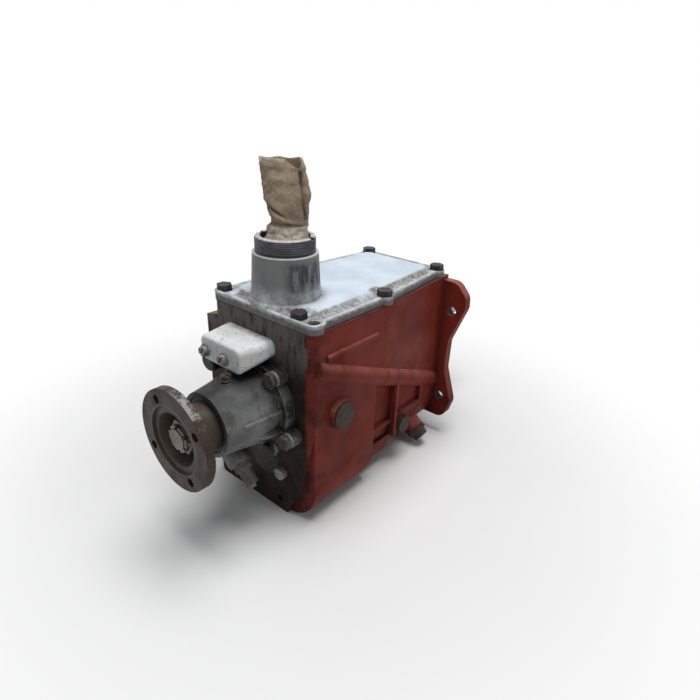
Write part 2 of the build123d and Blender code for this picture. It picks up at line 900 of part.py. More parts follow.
# Rag stuffed into the tower, shaped plainly and no wider than the thread
rag_turn = 39.4
rag_above_rim = (
    (3.7, 21.0, 22.5, 3.3),
    (14.7, 18.5, 19.5, 6.4),
    (30.7, 17.5, 23.0, 3.9),
    (43.7, 17.0, 25.8, 3.5),
    (59.7, 15.5, 25.5, 1.1),
    (82.7, 10.0, 24.0, -2.8),
)
rag_in_bore = tower_bore_radius - slide_gap
rag_levels = (
    (tower_height - 31, rag_in_bore - 9, rag_in_bore - 7, 0.0),
    (tower_height - 8, rag_in_bore, rag_in_bore, 0.0),
    *[(tower_height + rise, deep, wide, aside) for rise, deep, wide, aside in rag_above_rim],
)
with BuildPart() as cloth_plug:
    for height, deep, wide, aside in rag_levels:
        leaning_x = aside * sin(radians(rag_turn)) - tower_station
        leaning_y = -aside * cos(radians(rag_turn))
        with BuildSketch(Plane.XY.offset(height)):
            with Locations(Location((leaning_x, leaning_y), rag_turn)):
                Ellipse(deep, wide)
    loft(ruled=True)
save(cloth_plug.part, "cloth_plug")

# Rear cover
rear_spigot = 44.0
flange_lobes = pegs(rear_cover_start, rear_flange_end, rear_cover_lobe, rear_bolts_at)
rear_profile = (
    (rear_cover_start, rear_spigot),
    (rear_cover_start, rear_cover_radius),
    (rear_flange_end, rear_cover_radius),
    (rear_flange_end, 48.5),
    (case_length + 36, 46.5),
    (case_length + 60, 42.5),
    (rear_cover_rim_station, rear_cover_rim_radius),
    (rear_cover_rim_station, seal_radius),
    (rear_cover_rim_station - seal_width - 2, seal_radius),
    (rear_cover_rim_station - seal_width - 2, seal_radius - 4),
    (rear_cover_rim_station - seal_width - 6, seal_radius - 4),
    (rear_cover_rim_station - seal_width - 6, rear_cover_bore),
    (rear_flange_end + 14, rear_cover_bore),
    (rear_flange_end + 2, rear_spigot),
)
speedo_foot = worm_radius + speedo_gear_radius
speedo_side = speedo_foot * cos(radians(speedo_angle))
speedo_height = -speedo_foot * sin(radians(speedo_angle))


def speedo_plane(reach):
    """The plane square to the speedometer drive, at a distance along its axis."""
    out = Vector(0, -sin(radians(speedo_angle)), -cos(radians(speedo_angle)))
    middle = Vector(-speedo_station, speedo_side, speedo_height) + out * reach
    return Plane(origin=middle, x_dir=(1, 0, 0), z_dir=out)


def speedo_rod(start, end, radius, bore=0.0):
    """A round piece along the speedometer drive's axis."""
    with BuildPart() as rod:
        with BuildSketch(speedo_plane(start)):
            Circle(radius)
            if bore > 0:
                Circle(bore, mode=Mode.SUBTRACT)
        extrude(amount=end - start)
    return rod.part


rear_body = turned(rear_profile)
speedo_boss = [
    speedo_rod(-20, 16, speedo_gear_radius + 4),
    speedo_rod(16, speedo_face - 3, speedo_boss_radius),
]
rear_cover_cuts = [
    disc(rear_flange_end, rear_cover_rim_station - seal_width - 6, rear_cover_bore),
    disc(rear_flange_end, rear_cover_rim_station, seal_radius - 4),
    speedo_rod(-18, 12, speedo_gear_radius + 0.5),
    speedo_rod(12, speedo_face, speedo_thread_radius),
    pegs(rear_cover_start - 1, rear_flange_end + 1, cover_bolt_radius + slide_gap, rear_bolts_at),
]
breather_station = case_length + 50
breather_seat = 47.0
rib_start = rear_flange_end - 2
rib_angle = 172.0
gusset_angle = 205.0


def cover_rib(angle, thickness, corners):
    """A flat rib standing out of the rear cover, on a plane through the shaft line."""
    lean = radians(angle)
    face = Plane(origin=(0, 0, 0), x_dir=(1, 0, 0), z_dir=(0, -sin(lean), cos(lean)))
    with BuildPart() as rib:
        with BuildSketch(face.offset(-thickness / 2)):
            with BuildLine():
                Polyline([(-station, reach) for station, reach in corners], close=True)
            make_face()
        extrude(amount=thickness)
    return rib.part


cover_ribs = [
    cover_rib(rib_angle, 3.0, (
        (rib_start, 40), (rib_start, 51), (case_length + 62, 45), (case_length + 62, 39),
    )),
    cover_rib(gusset_angle, 4.0, (
        (rib_start, 40), (rib_start, 55.5), (case_length + 30, 52), (case_length + 50, 42),
    )),
]
with BuildPart() as rear_cover:
    add(rear_body)
    add(flange_lobes)
    add(cover_ribs)
    add(speedo_boss)
    add(rear_cover_cuts, mode=Mode.SUBTRACT)
    with BuildSketch(Plane.XY.offset(breather_seat - 7)):
        with Locations((-breather_station, 0)):
            Circle(7.5)
    extrude(amount=7)
    with BuildSketch(Plane.XY.offset(breather_seat - 15)):
        with Locations((-breather_station, 0)):
            Circle(4)
    extrude(amount=18, mode=Mode.SUBTRACT)
save(rear_cover.part, "rear_cover")

with BuildPart() as rear_cover_gasket:
    with BuildSketch(section(case_length)):
        Circle(rear_cover_radius)
        with Locations(*rear_bolts_at):
            Circle(rear_cover_lobe)
        Circle(output_bearing_radius, mode=Mode.SUBTRACT)
        with Locations(*rear_bolts_at):
            Circle(cover_bolt_radius + slide_gap, mode=Mode.SUBTRACT)
    extrude(amount=-rear_gasket_thickness)
save(rear_cover_gasket.part, "rear_cover_gasket")
save(
    hex_bolts(rear_flange_end, rear_bolts_at, cover_bolt_radius, bolt_flats, bolt_head,
              rear_cover_flange + 12, washer_thickness),
    "rear_cover_bolts",
)
rear_washers = washers(rear_flange_end, washer_thickness, washer_radius, cover_bolt_radius, rear_bolts_at)
save(together([*cover_washers.part.solids(), *rear_washers.solids()]), "bolt_washers")
save(
    turned((
        (rear_cover_rim_station - 1, flange_hub_radius + slide_gap),
        (rear_cover_rim_station - 1, seal_radius),
        (rear_cover_rim_station - seal_width - 1, seal_radius),
        (rear_cover_rim_station - seal_width - 1, flange_hub_radius + slide_gap),
    )),
    "output_oil_seal",
)

# Breather plug on the rear cover
with BuildPart() as breather_plug:
    with BuildSketch(Plane.XY.offset(breather_seat - 9)):
        with Locations((-breather_station, 0)):
            Circle(4)
    extrude(amount=9)
    with BuildSketch(Plane.XY.offset(breather_seat)):
        with Locations((-breather_station, 0)):
            Circle(6)
    extrude(amount=5)
    with BuildSketch(Plane.XY.offset(breather_seat + 3.5)):
        with Locations((-breather_station, 0)):
            Rectangle(2, 14)
    extrude(amount=2, mode=Mode.SUBTRACT)
save(breather_plug.part, "breather_plug")

# Cover over the ends of the shift rails
end_cover_wall = 5.0
end_cover_bores = pegs(case_length - 1, end_cover_rear - end_cover_wall, rail_radius + 1.1, rails_at)
end_cover_holes = pegs(case_length - 1, end_cover_rear + 1, end_screw_radius, end_screws_at)
with BuildPart() as rail_end_cover:
    with BuildSketch(section(case_length)):
        with Locations((16.5, rail_height + 4.5)):
            RectangleRounded(87, 23, 9)
    with BuildSketch(section(end_cover_rear)):
        with Locations((19.5, rail_height - 3)):
            RectangleRounded(71, 33, 9)
    loft()
    fillet(rail_end_cover.faces().sort_by(Axis.X)[0].edges(), radius=4)
    add(end_cover_bores, mode=Mode.SUBTRACT)
    add(end_cover_holes, mode=Mode.SUBTRACT)
save(rail_end_cover.part, "rail_end_cover")

with BuildPart() as end_cover_screws:
    with BuildSketch(section(end_cover_rear)):
        with Locations(*end_screws_at):
            Circle(8)
    extrude(amount=-1.5)
    with BuildSketch(section(end_cover_rear + 1.5)):
        with Locations(*end_screws_at):
            Circle(6.8)
    extrude(amount=-4.5, taper=14)
    with BuildSketch(section(end_cover_rear + 6)):
        with Locations(*end_screws_at):
            Rectangle(1.8, 14, rotation=35)
    extrude(amount=2, mode=Mode.SUBTRACT)
    with BuildSketch(section(end_cover_rear)):
        with Locations(*end_screws_at):
            Circle(end_screw_radius)
    extrude(amount=end_cover_rear - case_length + end_screw_depth - 2)
save(end_cover_screws.part, "end_cover_screws")

reverse_cap_end = case_length + 30
with BuildPart() as reverse_rail_cap:
    with BuildSketch(section(case_length)):
        with Locations(reverse_rail_at):
            Circle(13.3)
    extrude(amount=case_length - reverse_cap_end)
    fillet(reverse_rail_cap.faces().sort_by(Axis.X)[0].edges(), radius=4)
    with BuildSketch(section(case_length)):
        with Locations(reverse_rail_at):
            Circle(rail_radius + 1.1)
    extrude(amount=case_length - reverse_cap_end + 5, mode=Mode.SUBTRACT)
save(reverse_rail_cap.part, "reverse_rail_cap")

# Plugs
with BuildPart() as side_plug:
    with BuildSketch(side_plane(side_plug_face, side_plug_station, side_plug_height)):
        Circle(side_plug_radius)
    extrude(amount=3.5)
    fillet(side_plug.edges().group_by(Axis.Y)[0], radius=1)
    with BuildSketch(side_plane(side_plug_face, side_plug_station, side_plug_height)):
        Circle(side_plug_radius - 4)
    extrude(amount=-side_plug_depth + 2)
save(side_plug.part, "side_plug")

with BuildPart() as filler_plug:
    with BuildSketch(side_plane(filler_face, filler_station, filler_height)):
        RegularPolygon(12, 6, major_radius=False)
    extrude(amount=10)
    with BuildSketch(side_plane(filler_face, filler_station, filler_height)):
        Circle(plug_thread_radius)
    extrude(amount=-filler_depth + 1)
save(filler_plug.part, "filler_plug")

with BuildPart() as drain_plug:
    with BuildSketch(drain_plane(drain_face)):
        RegularPolygon(drain_flats / 2, 6, major_radius=False)
    extrude(amount=7)
    with BuildSketch(drain_plane(drain_face + 7)):
        Circle(drain_flats / 2 - 0.5)
    extrude(amount=9, taper=12)
    with BuildSketch(drain_plane(drain_face)):
        Circle(plug_thread_radius)
    extrude(amount=-filler_depth + 1)
    with BuildSketch(drain_plane(drain_face + 16)):
        Rectangle(8, 8)
    extrude(amount=-6, mode=Mode.SUBTRACT)
save(drain_plug.part, "drain_plug")

with BuildPart() as rear_face_plug:
    with BuildSketch(section(case_length)):
        with Locations(rear_plug_at):
            Circle(8)
    extrude(amount=-8)
    fillet(rear_face_plug.faces().sort_by(Axis.X)[0].edges(), radius=1)
    with BuildSketch(section(case_length)):
        with Locations(rear_plug_at):
            Circle(cover_bolt_radius)
    extrude(amount=10)
save(rear_face_plug.part, "rear_face_plug")
save(
    disc(front_seat_depth + slide_gap, cluster_front - slide_gap, cluster_bearing_radius,
         at=cluster_axis),
    "countershaft_front_plug",
)
save(
    disc(case_length - cluster_inset + slide_gap, case_length, cluster_bearing_radius,
         at=cluster_axis),
    "countershaft_rear_plug",
)
save(disc(lug_start, case_length - 0.5, idler_shaft_radius, at=idler_axis), "idler_shaft")

# Front cover with the sleeve for the release bearing
save(
    turned((
        (0, input_shaft_radius + 3.5),
        (0, input_bearing_radius + slide_gap),
        (front_seat_depth, input_bearing_radius + slide_gap),
        (front_seat_depth, front_seat_radius),
        (0, front_seat_radius),
        (0, front_cover_radius),
        (-front_cover_thickness, front_cover_radius),
        (-front_cover_thickness, quill_radius + 8),
        (-front_cover_thickness - 8, quill_radius),
        (-quill_length, quill_radius),
        (-quill_length, input_shaft_radius + 3.5),
    )) - pegs(front_seat_depth + 1, -front_cover_thickness - 1, small_bolt_radius + slide_gap,
              front_bolts_at)
    - disc(1, -12, 26),
    "front_cover",
)
with BuildPart() as front_cover_bolts:
    with BuildSketch(section(-front_cover_thickness)):
        with Locations(*front_bolts_at):
            RegularPolygon(small_bolt_flats / 2, 6, major_radius=False)
    extrude(amount=small_bolt_head)
    with BuildSketch(section(-front_cover_thickness)):
        with Locations(*front_bolts_at):
            Circle(small_bolt_radius)
    extrude(amount=-front_cover_thickness - front_bolt_depth + 2)
save(front_cover_bolts.part, "front_cover_bolts")
save(disc(-2, -12, 26, input_seat_radius - 1.7), "input_oil_seal")


def ball_bearing_outer(start, width, outer, inner):
    """The outer ring of a ball bearing with its balls."""
    balls_radius = (outer + inner) / 2
    ball = (outer - inner) / 2 - ring_thickness - running_gap
    with BuildPart() as race:
        with BuildSketch(section(start)):
            Circle(outer)
            Circle(outer - ring_thickness, mode=Mode.SUBTRACT)
        extrude(amount=-width)
    with BuildPart() as balls:
        with PolarLocations(balls_radius, bearing_balls):
            Sphere(ball)
    placed = Location((-start - width / 2, 0, 0), (0, 90, 0)) * balls.part
    return together([*race.part.solids(), *placed.solids()])


def roller_bearing_outer(start):
    middle = (cluster_bearing_radius + cluster_seat_radius) / 2
    roller = (cluster_bearing_radius - cluster_seat_radius) / 2 - cluster_ring_thickness - running_gap
    with BuildPart() as bearing:
        with BuildSketch(section(start)):
            with Locations(cluster_axis):
                Circle(cluster_bearing_radius)
                Circle(cluster_bearing_radius - cluster_ring_thickness, mode=Mode.SUBTRACT)
        extrude(amount=-cluster_bearing_width)
        with BuildSketch(section(start + 1)):
            with Locations(cluster_axis):
                with PolarLocations(middle - 0.02, cluster_rollers):
                    Circle(roller - 0.02)
        extrude(amount=2 - cluster_bearing_width)
    return bearing.part


save(ball_bearing_outer(0, input_bearing_width, input_bearing_radius, input_seat_radius), "input_bearing")
save(
    ball_bearing_outer(output_bearing_start, output_bearing_width, output_bearing_radius,
                       output_seat_radius),
    "output_bearing",
)
save(roller_bearing_outer(cluster_front), "countershaft_front_bearing")
save(roller_bearing_outer(cluster_rear), "countershaft_rear_bearing")
save(disc(0, input_bearing_width, input_seat_radius + ring_thickness, input_seat_radius),
     "input_bearing_race")
save(
    disc(output_bearing_start, case_length, output_seat_radius + ring_thickness, output_seat_radius),
    "output_bearing_race",
)
save(
    together([
        disc(start, start + cluster_bearing_width, cluster_seat_radius + cluster_ring_thickness,
             cluster_seat_radius, at=cluster_axis).solid()
        for start in (cluster_front, cluster_rear)
    ]),
    "countershaft_bearing_races",
)

# Input shaft
input_spline_start = -150.0
input_spline_end = -104.0
input_body = turned((
    (-input_length, 0),
    (-input_length, 7),
    (-input_length + 1, 8),
    (input_spline_start, 8),
    (input_spline_start, 14),
    (input_spline_end, 14),
    (input_spline_end, input_shaft_radius),
    (-16, input_shaft_radius),
    (-16, 18),
    (0, 18),
    (0, input_seat_radius),
    (input_bearing_width, input_seat_radius),
    (input_bearing_width, 24),
    (drive_gear_start - gear_side_gap, 24),
    (drive_gear_start - gear_side_gap, 17),
    (drive_gear_start + gear_width + gear_side_gap, 17),
    (drive_gear_start + gear_width + gear_side_gap, 24),
    (input_dog_start, 24),
    (input_dog_start + dog_width, cone_radius),
    (cone_end, cone_radius - cone_fall),
    (cone_end, pilot_bore_radius),
    (40, pilot_bore_radius),
    (40, 0),
))
input_wheels = [
    toothed(drive_gear_start - gear_side_gap, drive_gear_start + gear_width + gear_side_gap,
            gear_points(input_teeth, teeth_module), bore=16),
    toothed(input_dog_start, input_dog_start + dog_width, dog_points(), bore=23),
    toothed(input_spline_start, input_spline_end, spline_points(14, input_shaft_radius)),
]
with BuildPart() as input_shaft:
    add(input_body)
    add(input_wheels)
save(input_shaft.part, "input_shaft")
pilot_roller = (pilot_bore_radius - pilot_radius) / 2 - running_gap
save(
    pegs(42, 64, pilot_roller, [
        ((pilot_bore_radius + pilot_radius) / 2 * cos(radians(360 * roller / pilot_rollers)),
         (pilot_bore_radius + pilot_radius) / 2 * sin(radians(360 * roller / pilot_rollers)))
        for roller in range(pilot_rollers)
    ]),
    "pilot_rollers",
)

# Countershaft
cluster_body = Pos(0, 0, -shaft_distance) * turned((
    (cluster_front, 0),
    (cluster_front, cluster_seat_radius),
    (cluster_front + cluster_bearing_width, cluster_seat_radius),
    (cluster_front + cluster_bearing_width, cluster_shaft_radius),
    (cluster_rear, cluster_shaft_radius),
    (cluster_rear, cluster_seat_radius),
    (cluster_rear + cluster_bearing_width, cluster_seat_radius),
    (cluster_rear + cluster_bearing_width, 0),
))
reverse_pinion_start = idler_start - gear_side_gap
reverse_pinion_end = first_gear_start + idler_width + gear_side_gap
cluster_pinions = [
    toothed(reverse_pinion_start, reverse_pinion_end,
            gear_points(reverse_pinion_teeth, first_module, reverse_pinion_angle),
            cluster_axis, cluster_seat_radius),
    toothed(first_pinion_start, first_pinion_start + first_pinion_width,
            gear_points(first_pinion_teeth, first_module, first_pinion_angle),
            cluster_axis, cluster_seat_radius),
]
with BuildPart() as countershaft:
    add(cluster_body)
    add(cluster_pinions)
save(countershaft.part, "countershaft")


def webbed(start, width, teeth, module, angle, rim, hub):
    """A countershaft gear, thinned on both sides between its rim and its hub."""
    wheel = toothed(start, start + width, gear_points(teeth, module, angle), cluster_axis,
                    cluster_shaft_radius)
    near = disc(start - 1, start + 6, rim, hub, cluster_axis)
    far = disc(start + width - 6, start + width + 1, rim, hub, cluster_axis)
    return wheel - near - far


save(
    webbed(drive_gear_start, gear_width, drive_teeth, teeth_module, drive_angle, 52, 27),
    "countershaft_drive_gear",
)
save(
    webbed(third_gear_start, gear_width, third_cluster_teeth, third_module, third_cluster_angle, 46, 27),
    "countershaft_third_gear",
)
save(
    webbed(second_gear_start, gear_width, second_cluster_teeth, second_module, second_cluster_angle,
           33, 25),
    "countershaft_second_gear",
)

# Gears that run free on the output shaft
third_dog_end = third_dog_start + dog_width
third_body = turned((
    (hub_end + slide_gap, third_journal_radius + running_gap),
    (hub_end + slide_gap, 22),
    (third_dog_start - 7, 22),
    (third_dog_start - 7, cone_radius - cone_fall),
    (third_dog_start, cone_radius),
    (third_dog_end, cone_radius - 1.6),
    (third_gear_start - gear_side_gap, cone_radius - 1.6),
    (third_gear_start - gear_side_gap, 24),
    (third_gear_start + gear_width + gear_side_gap, 24),
    (third_gear_start + gear_width + gear_side_gap, third_journal_radius + running_gap),
))
third_wheels = [
    toothed(third_dog_start, third_dog_end, dog_points(), bore=23),
    toothed(third_gear_start - gear_side_gap, third_gear_start + gear_width + gear_side_gap,
            gear_points(third_teeth, third_module), bore=23),
]
with BuildPart() as third_gear:
    add(third_body)
    add(third_wheels)
save(third_gear.part, "third_gear")

second_dog_end = second_dog_start + dog_width
second_body = disc(second_gear_start - gear_side_gap, second_dog_end, 27,
                   second_journal_radius + running_gap)
second_wheels = [
    toothed(second_gear_start - gear_side_gap, second_gear_start + gear_width + gear_side_gap,
            gear_points(second_teeth, second_module), bore=25),
    toothed(second_dog_start, second_dog_end, dog_points(), bore=25),
]
with BuildPart() as second_gear:
    add(second_body)
    add(second_wheels)
save(second_gear.part, "second_gear")

# Output shaft and what turns with it
nut_start = flange_seat_station + 3
nut_top = flange_station - 5
nut_hex_end = nut_start + 12
output_body = turned((
    (cone_end - 29, 0),
    (cone_end - 29, pilot_radius),
    (cone_end + 1, pilot_radius),
    (cone_end + 1, hub_seat_radius),
    (hub_end + slide_gap, hub_seat_radius),
    (hub_end + slide_gap, third_journal_radius),
    (third_gear_start + gear_width + gear_side_gap + slide_gap, third_journal_radius),
    (third_gear_start + gear_width + gear_side_gap + slide_gap, second_journal_radius),
    (second_dog_end + 4, second_journal_radius),
    (second_dog_end + 4, spline_root_radius - 0.01),
    (output_bearing_start - 6, spline_root_radius - 0.01),
    (output_bearing_start - 6, output_seat_radius + 5.5),
    (output_bearing_start, output_seat_radius + 5.5),
    (output_bearing_start, output_seat_radius),
    (case_length, output_seat_radius),
    (case_length, output_nose_radius),
    (flange_seat_station, output_nose_radius),
    (flange_seat_station, nut_thread_radius),
    (nut_top + 1.5, nut_thread_radius),
    (nut_top + 1.5, 0),
))
output_spline = toothed(second_dog_end + 4, output_bearing_start - 6,
                        spline_points(spline_root_radius, second_journal_radius))
with BuildPart() as output_shaft:
    add(output_body)
    add(output_spline)
save(output_shaft.part, "output_shaft")
third_gear_end = third_gear_start + gear_width + gear_side_gap
save(
    together([
        disc(hub_start - 1.8, hub_start - slide_gap, hub_seat_radius + 3, hub_seat_radius).solid(),
        disc(third_gear_end + slide_gap, second_gear_start - gear_side_gap - slide_gap,
             second_journal_radius + 5, second_journal_radius).solid(),
        disc(second_dog_end + slide_gap, second_dog_end + 3.7, second_journal_radius + 6,
             second_journal_radius).solid(),
    ]),
    "thrust_rings",
)
save(toothed(hub_start, hub_end, dog_points(), bore=hub_seat_radius), "synchro_hub")


def synchro_ring(side):
    """A synchromesh ring beside the hub, in front of it with side -1 and behind it with 1."""
    reach = hub_width / 2
    corners = (
        (reach + 0.3, 26.3),
        (reach + 3, 26.6),
        (reach + 9, 28.0),
        (reach + 9, 29.6),
        (reach + 0.3, 29.6),
    )
    return turned([(hub_middle + side * away, radius) for away, radius in corners])


save(together([synchro_ring(-1).solid(), synchro_ring(1).solid()]), "synchro_rings")

worm_pitch = 4.0
worm_rings = 4
worm_start = speedo_station - worm_rings * worm_pitch / 2
worm_root = worm_radius - 2
worm_ring = ((0.4, worm_root), (1.4, worm_radius), (2.6, worm_radius), (3.6, worm_root))
worm_corners = [
    (worm_start + worm_pitch * ring + along, radius)
    for ring in range(worm_rings)
    for along, radius in worm_ring
]
save(
    turned((
        (case_length, output_nose_radius),
        (case_length, 26),
        (worm_start - 4, 26),
        (worm_start - 4, worm_root),
        *worm_corners,
        (flange_hub_start, worm_root),
        (flange_hub_start, output_nose_radius),
    )),
    "speedometer_worm",
)

flange_back = flange_station - flange_thickness
flange_holes_at = [
    (flange_pcd / 2 * cos(radians(flange_hole_angle + turn)),
     flange_pcd / 2 * sin(radians(flange_hole_angle + turn)))
    for turn in (0, 90, 180, 270)
]
save(
    turned((
        (flange_hub_start, output_nose_radius),
        (flange_hub_start, flange_hub_radius),
        (flange_seat_station + 4, flange_hub_radius),
        (flange_back, 42),
        (flange_back, flange_radius),
        (flange_station, flange_radius),
        (flange_station, flange_pilot_radius),
        (flange_station - flange_pilot_depth, flange_pilot_radius),
        (flange_station - flange_pilot_depth, flange_pocket_radius),
        (flange_seat_station, 24),
        (flange_seat_station, output_nose_radius),
    )) - pegs(flange_back - 1, flange_station + 1, flange_hole_radius, flange_holes_at),
    "output_flange",
)
save(disc(flange_seat_station, nut_start, 21.5, nut_thread_radius), "flange_washer")
with BuildPart() as flange_nut:
    with BuildSketch(section(nut_start)):
        RegularPolygon(nut_across_flats / 2, 6, major_radius=False)
    extrude(amount=nut_start - nut_hex_end)
    with BuildSketch(section(nut_hex_end)):
        Circle(nut_across_flats / 2 - 2)
    extrude(amount=nut_hex_end - nut_top)
    with BuildSketch(section(nut_hex_end)):
        with PolarLocations(0, 3):
            Rectangle(5, 2 * nut_across_flats)
    extrude(amount=nut_hex_end - nut_top - 1, mode=Mode.SUBTRACT)
    with BuildSketch(section(nut_start - 1)):
        Circle(nut_thread_radius)
    extrude(amount=nut_start - nut_top - 2, mode=Mode.SUBTRACT)
save(flange_nut.part, "flange_nut")

# Sliding gear for first and second, and the synchromesh sleeve
dog_space = 0.4
low_wheels = [
    disc(low_hub_start, low_hub_end, low_hub_radius),
    toothed(first_gear_start, first_gear_start + idler_width, gear_points(first_teeth, first_module)),
]
low_cuts = [
    disc(low_groove_start, low_groove_start + groove_width, low_hub_radius + 1, low_groove_radius),
    toothed(low_hub_start - 1, low_hub_start + 12, dog_points(dog_space)),
    toothed(low_hub_start + 11, low_hub_end + 1,
            spline_points(spline_root_radius, second_journal_radius, slide_gap)),
]
with BuildPart() as low_gear:
    add(low_wheels)
    add(low_cuts, mode=Mode.SUBTRACT)
save(low_gear.part, "low_gear")

sleeve_start = hub_start - sleeve_overhang
sleeve_end = hub_end + sleeve_overhang
save(
    disc(sleeve_start, sleeve_end, sleeve_radius)
    - disc(hub_middle - groove_width / 2, hub_middle + groove_width / 2, sleeve_radius + 1,
           sleeve_groove_radius)
    - toothed(sleeve_start - 1, sleeve_end + 1, dog_points(dog_space)),
    "synchro_sleeve",
)


# Shift rails and forks
def shift_rail(start, end, at, grooves, notch):
    """A shift rail with its detent grooves and the notch the lever works in."""
    with BuildPart() as rail:
        with BuildSketch(section(start)):
            with Locations(at):
                Circle(rail_radius)
        extrude(amount=start - end)
        for groove in grooves:
            with BuildSketch(section(groove - 1.5)):
                with Locations(at):
                    Circle(rail_radius + 1)
                    Circle(rail_radius - 1, mode=Mode.SUBTRACT)
            extrude(amount=-3, mode=Mode.SUBTRACT)
        with BuildSketch(section(notch - 6)):
            with Locations((at[0], at[1] + rail_radius)):
                Rectangle(3 * rail_radius, 7)
        extrude(amount=-12, mode=Mode.SUBTRACT)
    return rail.part


rail_rear = case_length + rail_stand_out
save(
    shift_rail(rail_front, rail_rear, rails_at[0],
               (detent_station - sleeve_travel, detent_station, detent_station + sleeve_travel),
               tower_station),
    "high_rail",
)
save(
    shift_rail(rail_front, rail_rear, rails_at[1],
               (detent_station - first_travel, detent_station, detent_station + second_travel),
               tower_station),
    "low_rail",
)
save(
    shift_rail(reverse_rail_front, reverse_rail_rear, reverse_rail_at, (150, 260), 238),
    "reverse_rail",
)


def shift_fork(middle, at, boss_radius, groove, centre, outer, arm, opening):
    """A fork on a rail, its two prongs in a groove about centre, open on one side."""
    with BuildPart() as fork:
        with BuildSketch(section(middle - fork_thickness / 2)):
            with BuildLine():
                Polyline(*arm, close=True)
            make_face()
            with Locations(centre):
                Circle(outer)
            with Locations(centre):
                Circle(groove + fork_gap, mode=Mode.SUBTRACT)
            with BuildLine():
                Polyline(*opening, close=True)
            make_face(mode=Mode.SUBTRACT)
        extrude(amount=-fork_thickness)
        with BuildSketch(section(middle - fork_boss_length / 2)):
            with Locations(at):
                Circle(boss_radius)
        extrude(amount=-fork_boss_length)
        with BuildSketch(section(middle - fork_boss_length)):
            with Locations(at):
                Circle(rail_radius)
        extrude(amount=-2 * fork_boss_length, mode=Mode.SUBTRACT)
    return fork.part


low_fork_station = low_groove_start + groove_width / 2
reverse_fork_station = idler_groove_start + groove_width / 2
save(
    shift_fork(hub_middle, rails_at[0], fork_boss_radius, sleeve_groove_radius, (0, 0), 47,
               ((high_rail_side - 12, rail_height), (-32, 30), (30, 30),
                (high_rail_side + 12, rail_height)),
               ((-60, -8), (60, -8), (60, -60), (-60, -60))),
    "high_fork",
)
save(
    shift_fork(low_fork_station, rails_at[1], fork_boss_radius, low_groove_radius, (0, 0), 41,
               ((low_rail_side + 11.75, rail_height), (36, 18), (-18, 34),
                (low_rail_side - 11.75, rail_height)),
               ((-60, -8), (60, -8), (60, -60), (-60, -60))),
    "low_fork",
)
idler_side, idler_height = idler_axis
save(
    shift_fork(reverse_fork_station, reverse_rail_at, fork_boss_radius - 1.5, idler_groove_radius,
               idler_axis, 21,
               ((reverse_rail_side - 1.5, reverse_rail_height), (reverse_rail_side, 0),
                (reverse_rail_side, -52), (idler_side + 8, idler_height + 19),
                (idler_side + 16, idler_height - 13), (reverse_rail_side + 15, -66),
                (reverse_rail_side + 15, 0), (reverse_rail_side + 11, reverse_rail_height)),
               ((idler_side - 40, idler_height + 40), (idler_side - 3, idler_height + 40),
                (idler_side - 3, idler_height - 40), (idler_side - 40, idler_height - 40))),
    "reverse_fork",
)

# Reverse idler
idler_end = idler_start + idler_width
collar_end = idler_groove_start + groove_width + 2.5
save(
    toothed(idler_start, idler_end, gear_points(idler_teeth, first_module, idler_angle), idler_axis,
            idler_shaft_radius + running_gap)
    + disc(idler_end, collar_end, idler_collar_radius, idler_shaft_radius + running_gap, idler_axis)
    - disc(idler_groove_start, idler_groove_start + groove_width, idler_collar_radius + 1,
           idler_groove_radius, idler_axis),
    "idler_gear",
)

# Detents in the front of the case
ball_radius = detent_ball_radius - 0.1
ball_height = rail_height + rail_radius + 0.3 + ball_radius
detents_at = [(-detent_station, side) for side, height in rails_at]
with BuildPart() as detent_balls:
    with Locations(*[(along, side, ball_height) for along, side in detents_at]):
        Sphere(ball_radius)
save(detent_balls.part, "detent_balls")
with BuildPart() as detent_springs:
    with BuildSketch(Plane.XY.offset(ball_height + ball_radius + 0.1)):
        with Locations(*detents_at):
            Circle(ball_radius - 0.3)
            Circle(ball_radius - 1.3, mode=Mode.SUBTRACT)
    extrude(amount=seat_height - 0.1 - ball_height - ball_radius - 0.1)
save(detent_springs.part, "detent_springs")

# Speedometer drive
speedo_tip = speedo_gear_radius - 0.3
speedo_points = tooth_points(speedo_teeth, speedo_tip - 2, speedo_tip, radians(9), radians(4.5))
with BuildPart() as speedometer_gear:
    with BuildSketch(speedo_plane(-speedo_gear_width / 2)):
        with BuildLine():
            Polyline(speedo_points, close=True)
        make_face()
    extrude(amount=speedo_gear_width)
    add(speedo_rod(-14, speedo_length - 2.6, speedo_shaft_radius))
    with BuildSketch(speedo_plane(speedo_length - 2.6)):
        Rectangle(5, 5)
    extrude(amount=5)
save(speedometer_gear.part, "speedometer_gear")
with BuildPart() as speedometer_sleeve:
    add(speedo_rod(20, speedo_length - 1.6, speedo_thread_radius))
    add(speedo_rod(speedo_face - 3, speedo_face, speedo_boss_radius - 1))
    with BuildSketch(speedo_plane(speedo_face)):
        RegularPolygon(10.5, 6, major_radius=False)
    extrude(amount=8)
    add(speedo_rod(19, speedo_length, speedo_shaft_radius + slide_gap), mode=Mode.SUBTRACT)
save(speedometer_sleeve.part, "speedometer_sleeve")
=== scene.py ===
"""A used gearbox with worn paint, oily castings, a rusty flange and a rag in its lever tower."""
import json
from math import cos, exp, pi, radians, sin

import bmesh
import bpy
from mathutils import Matrix, Vector, noise


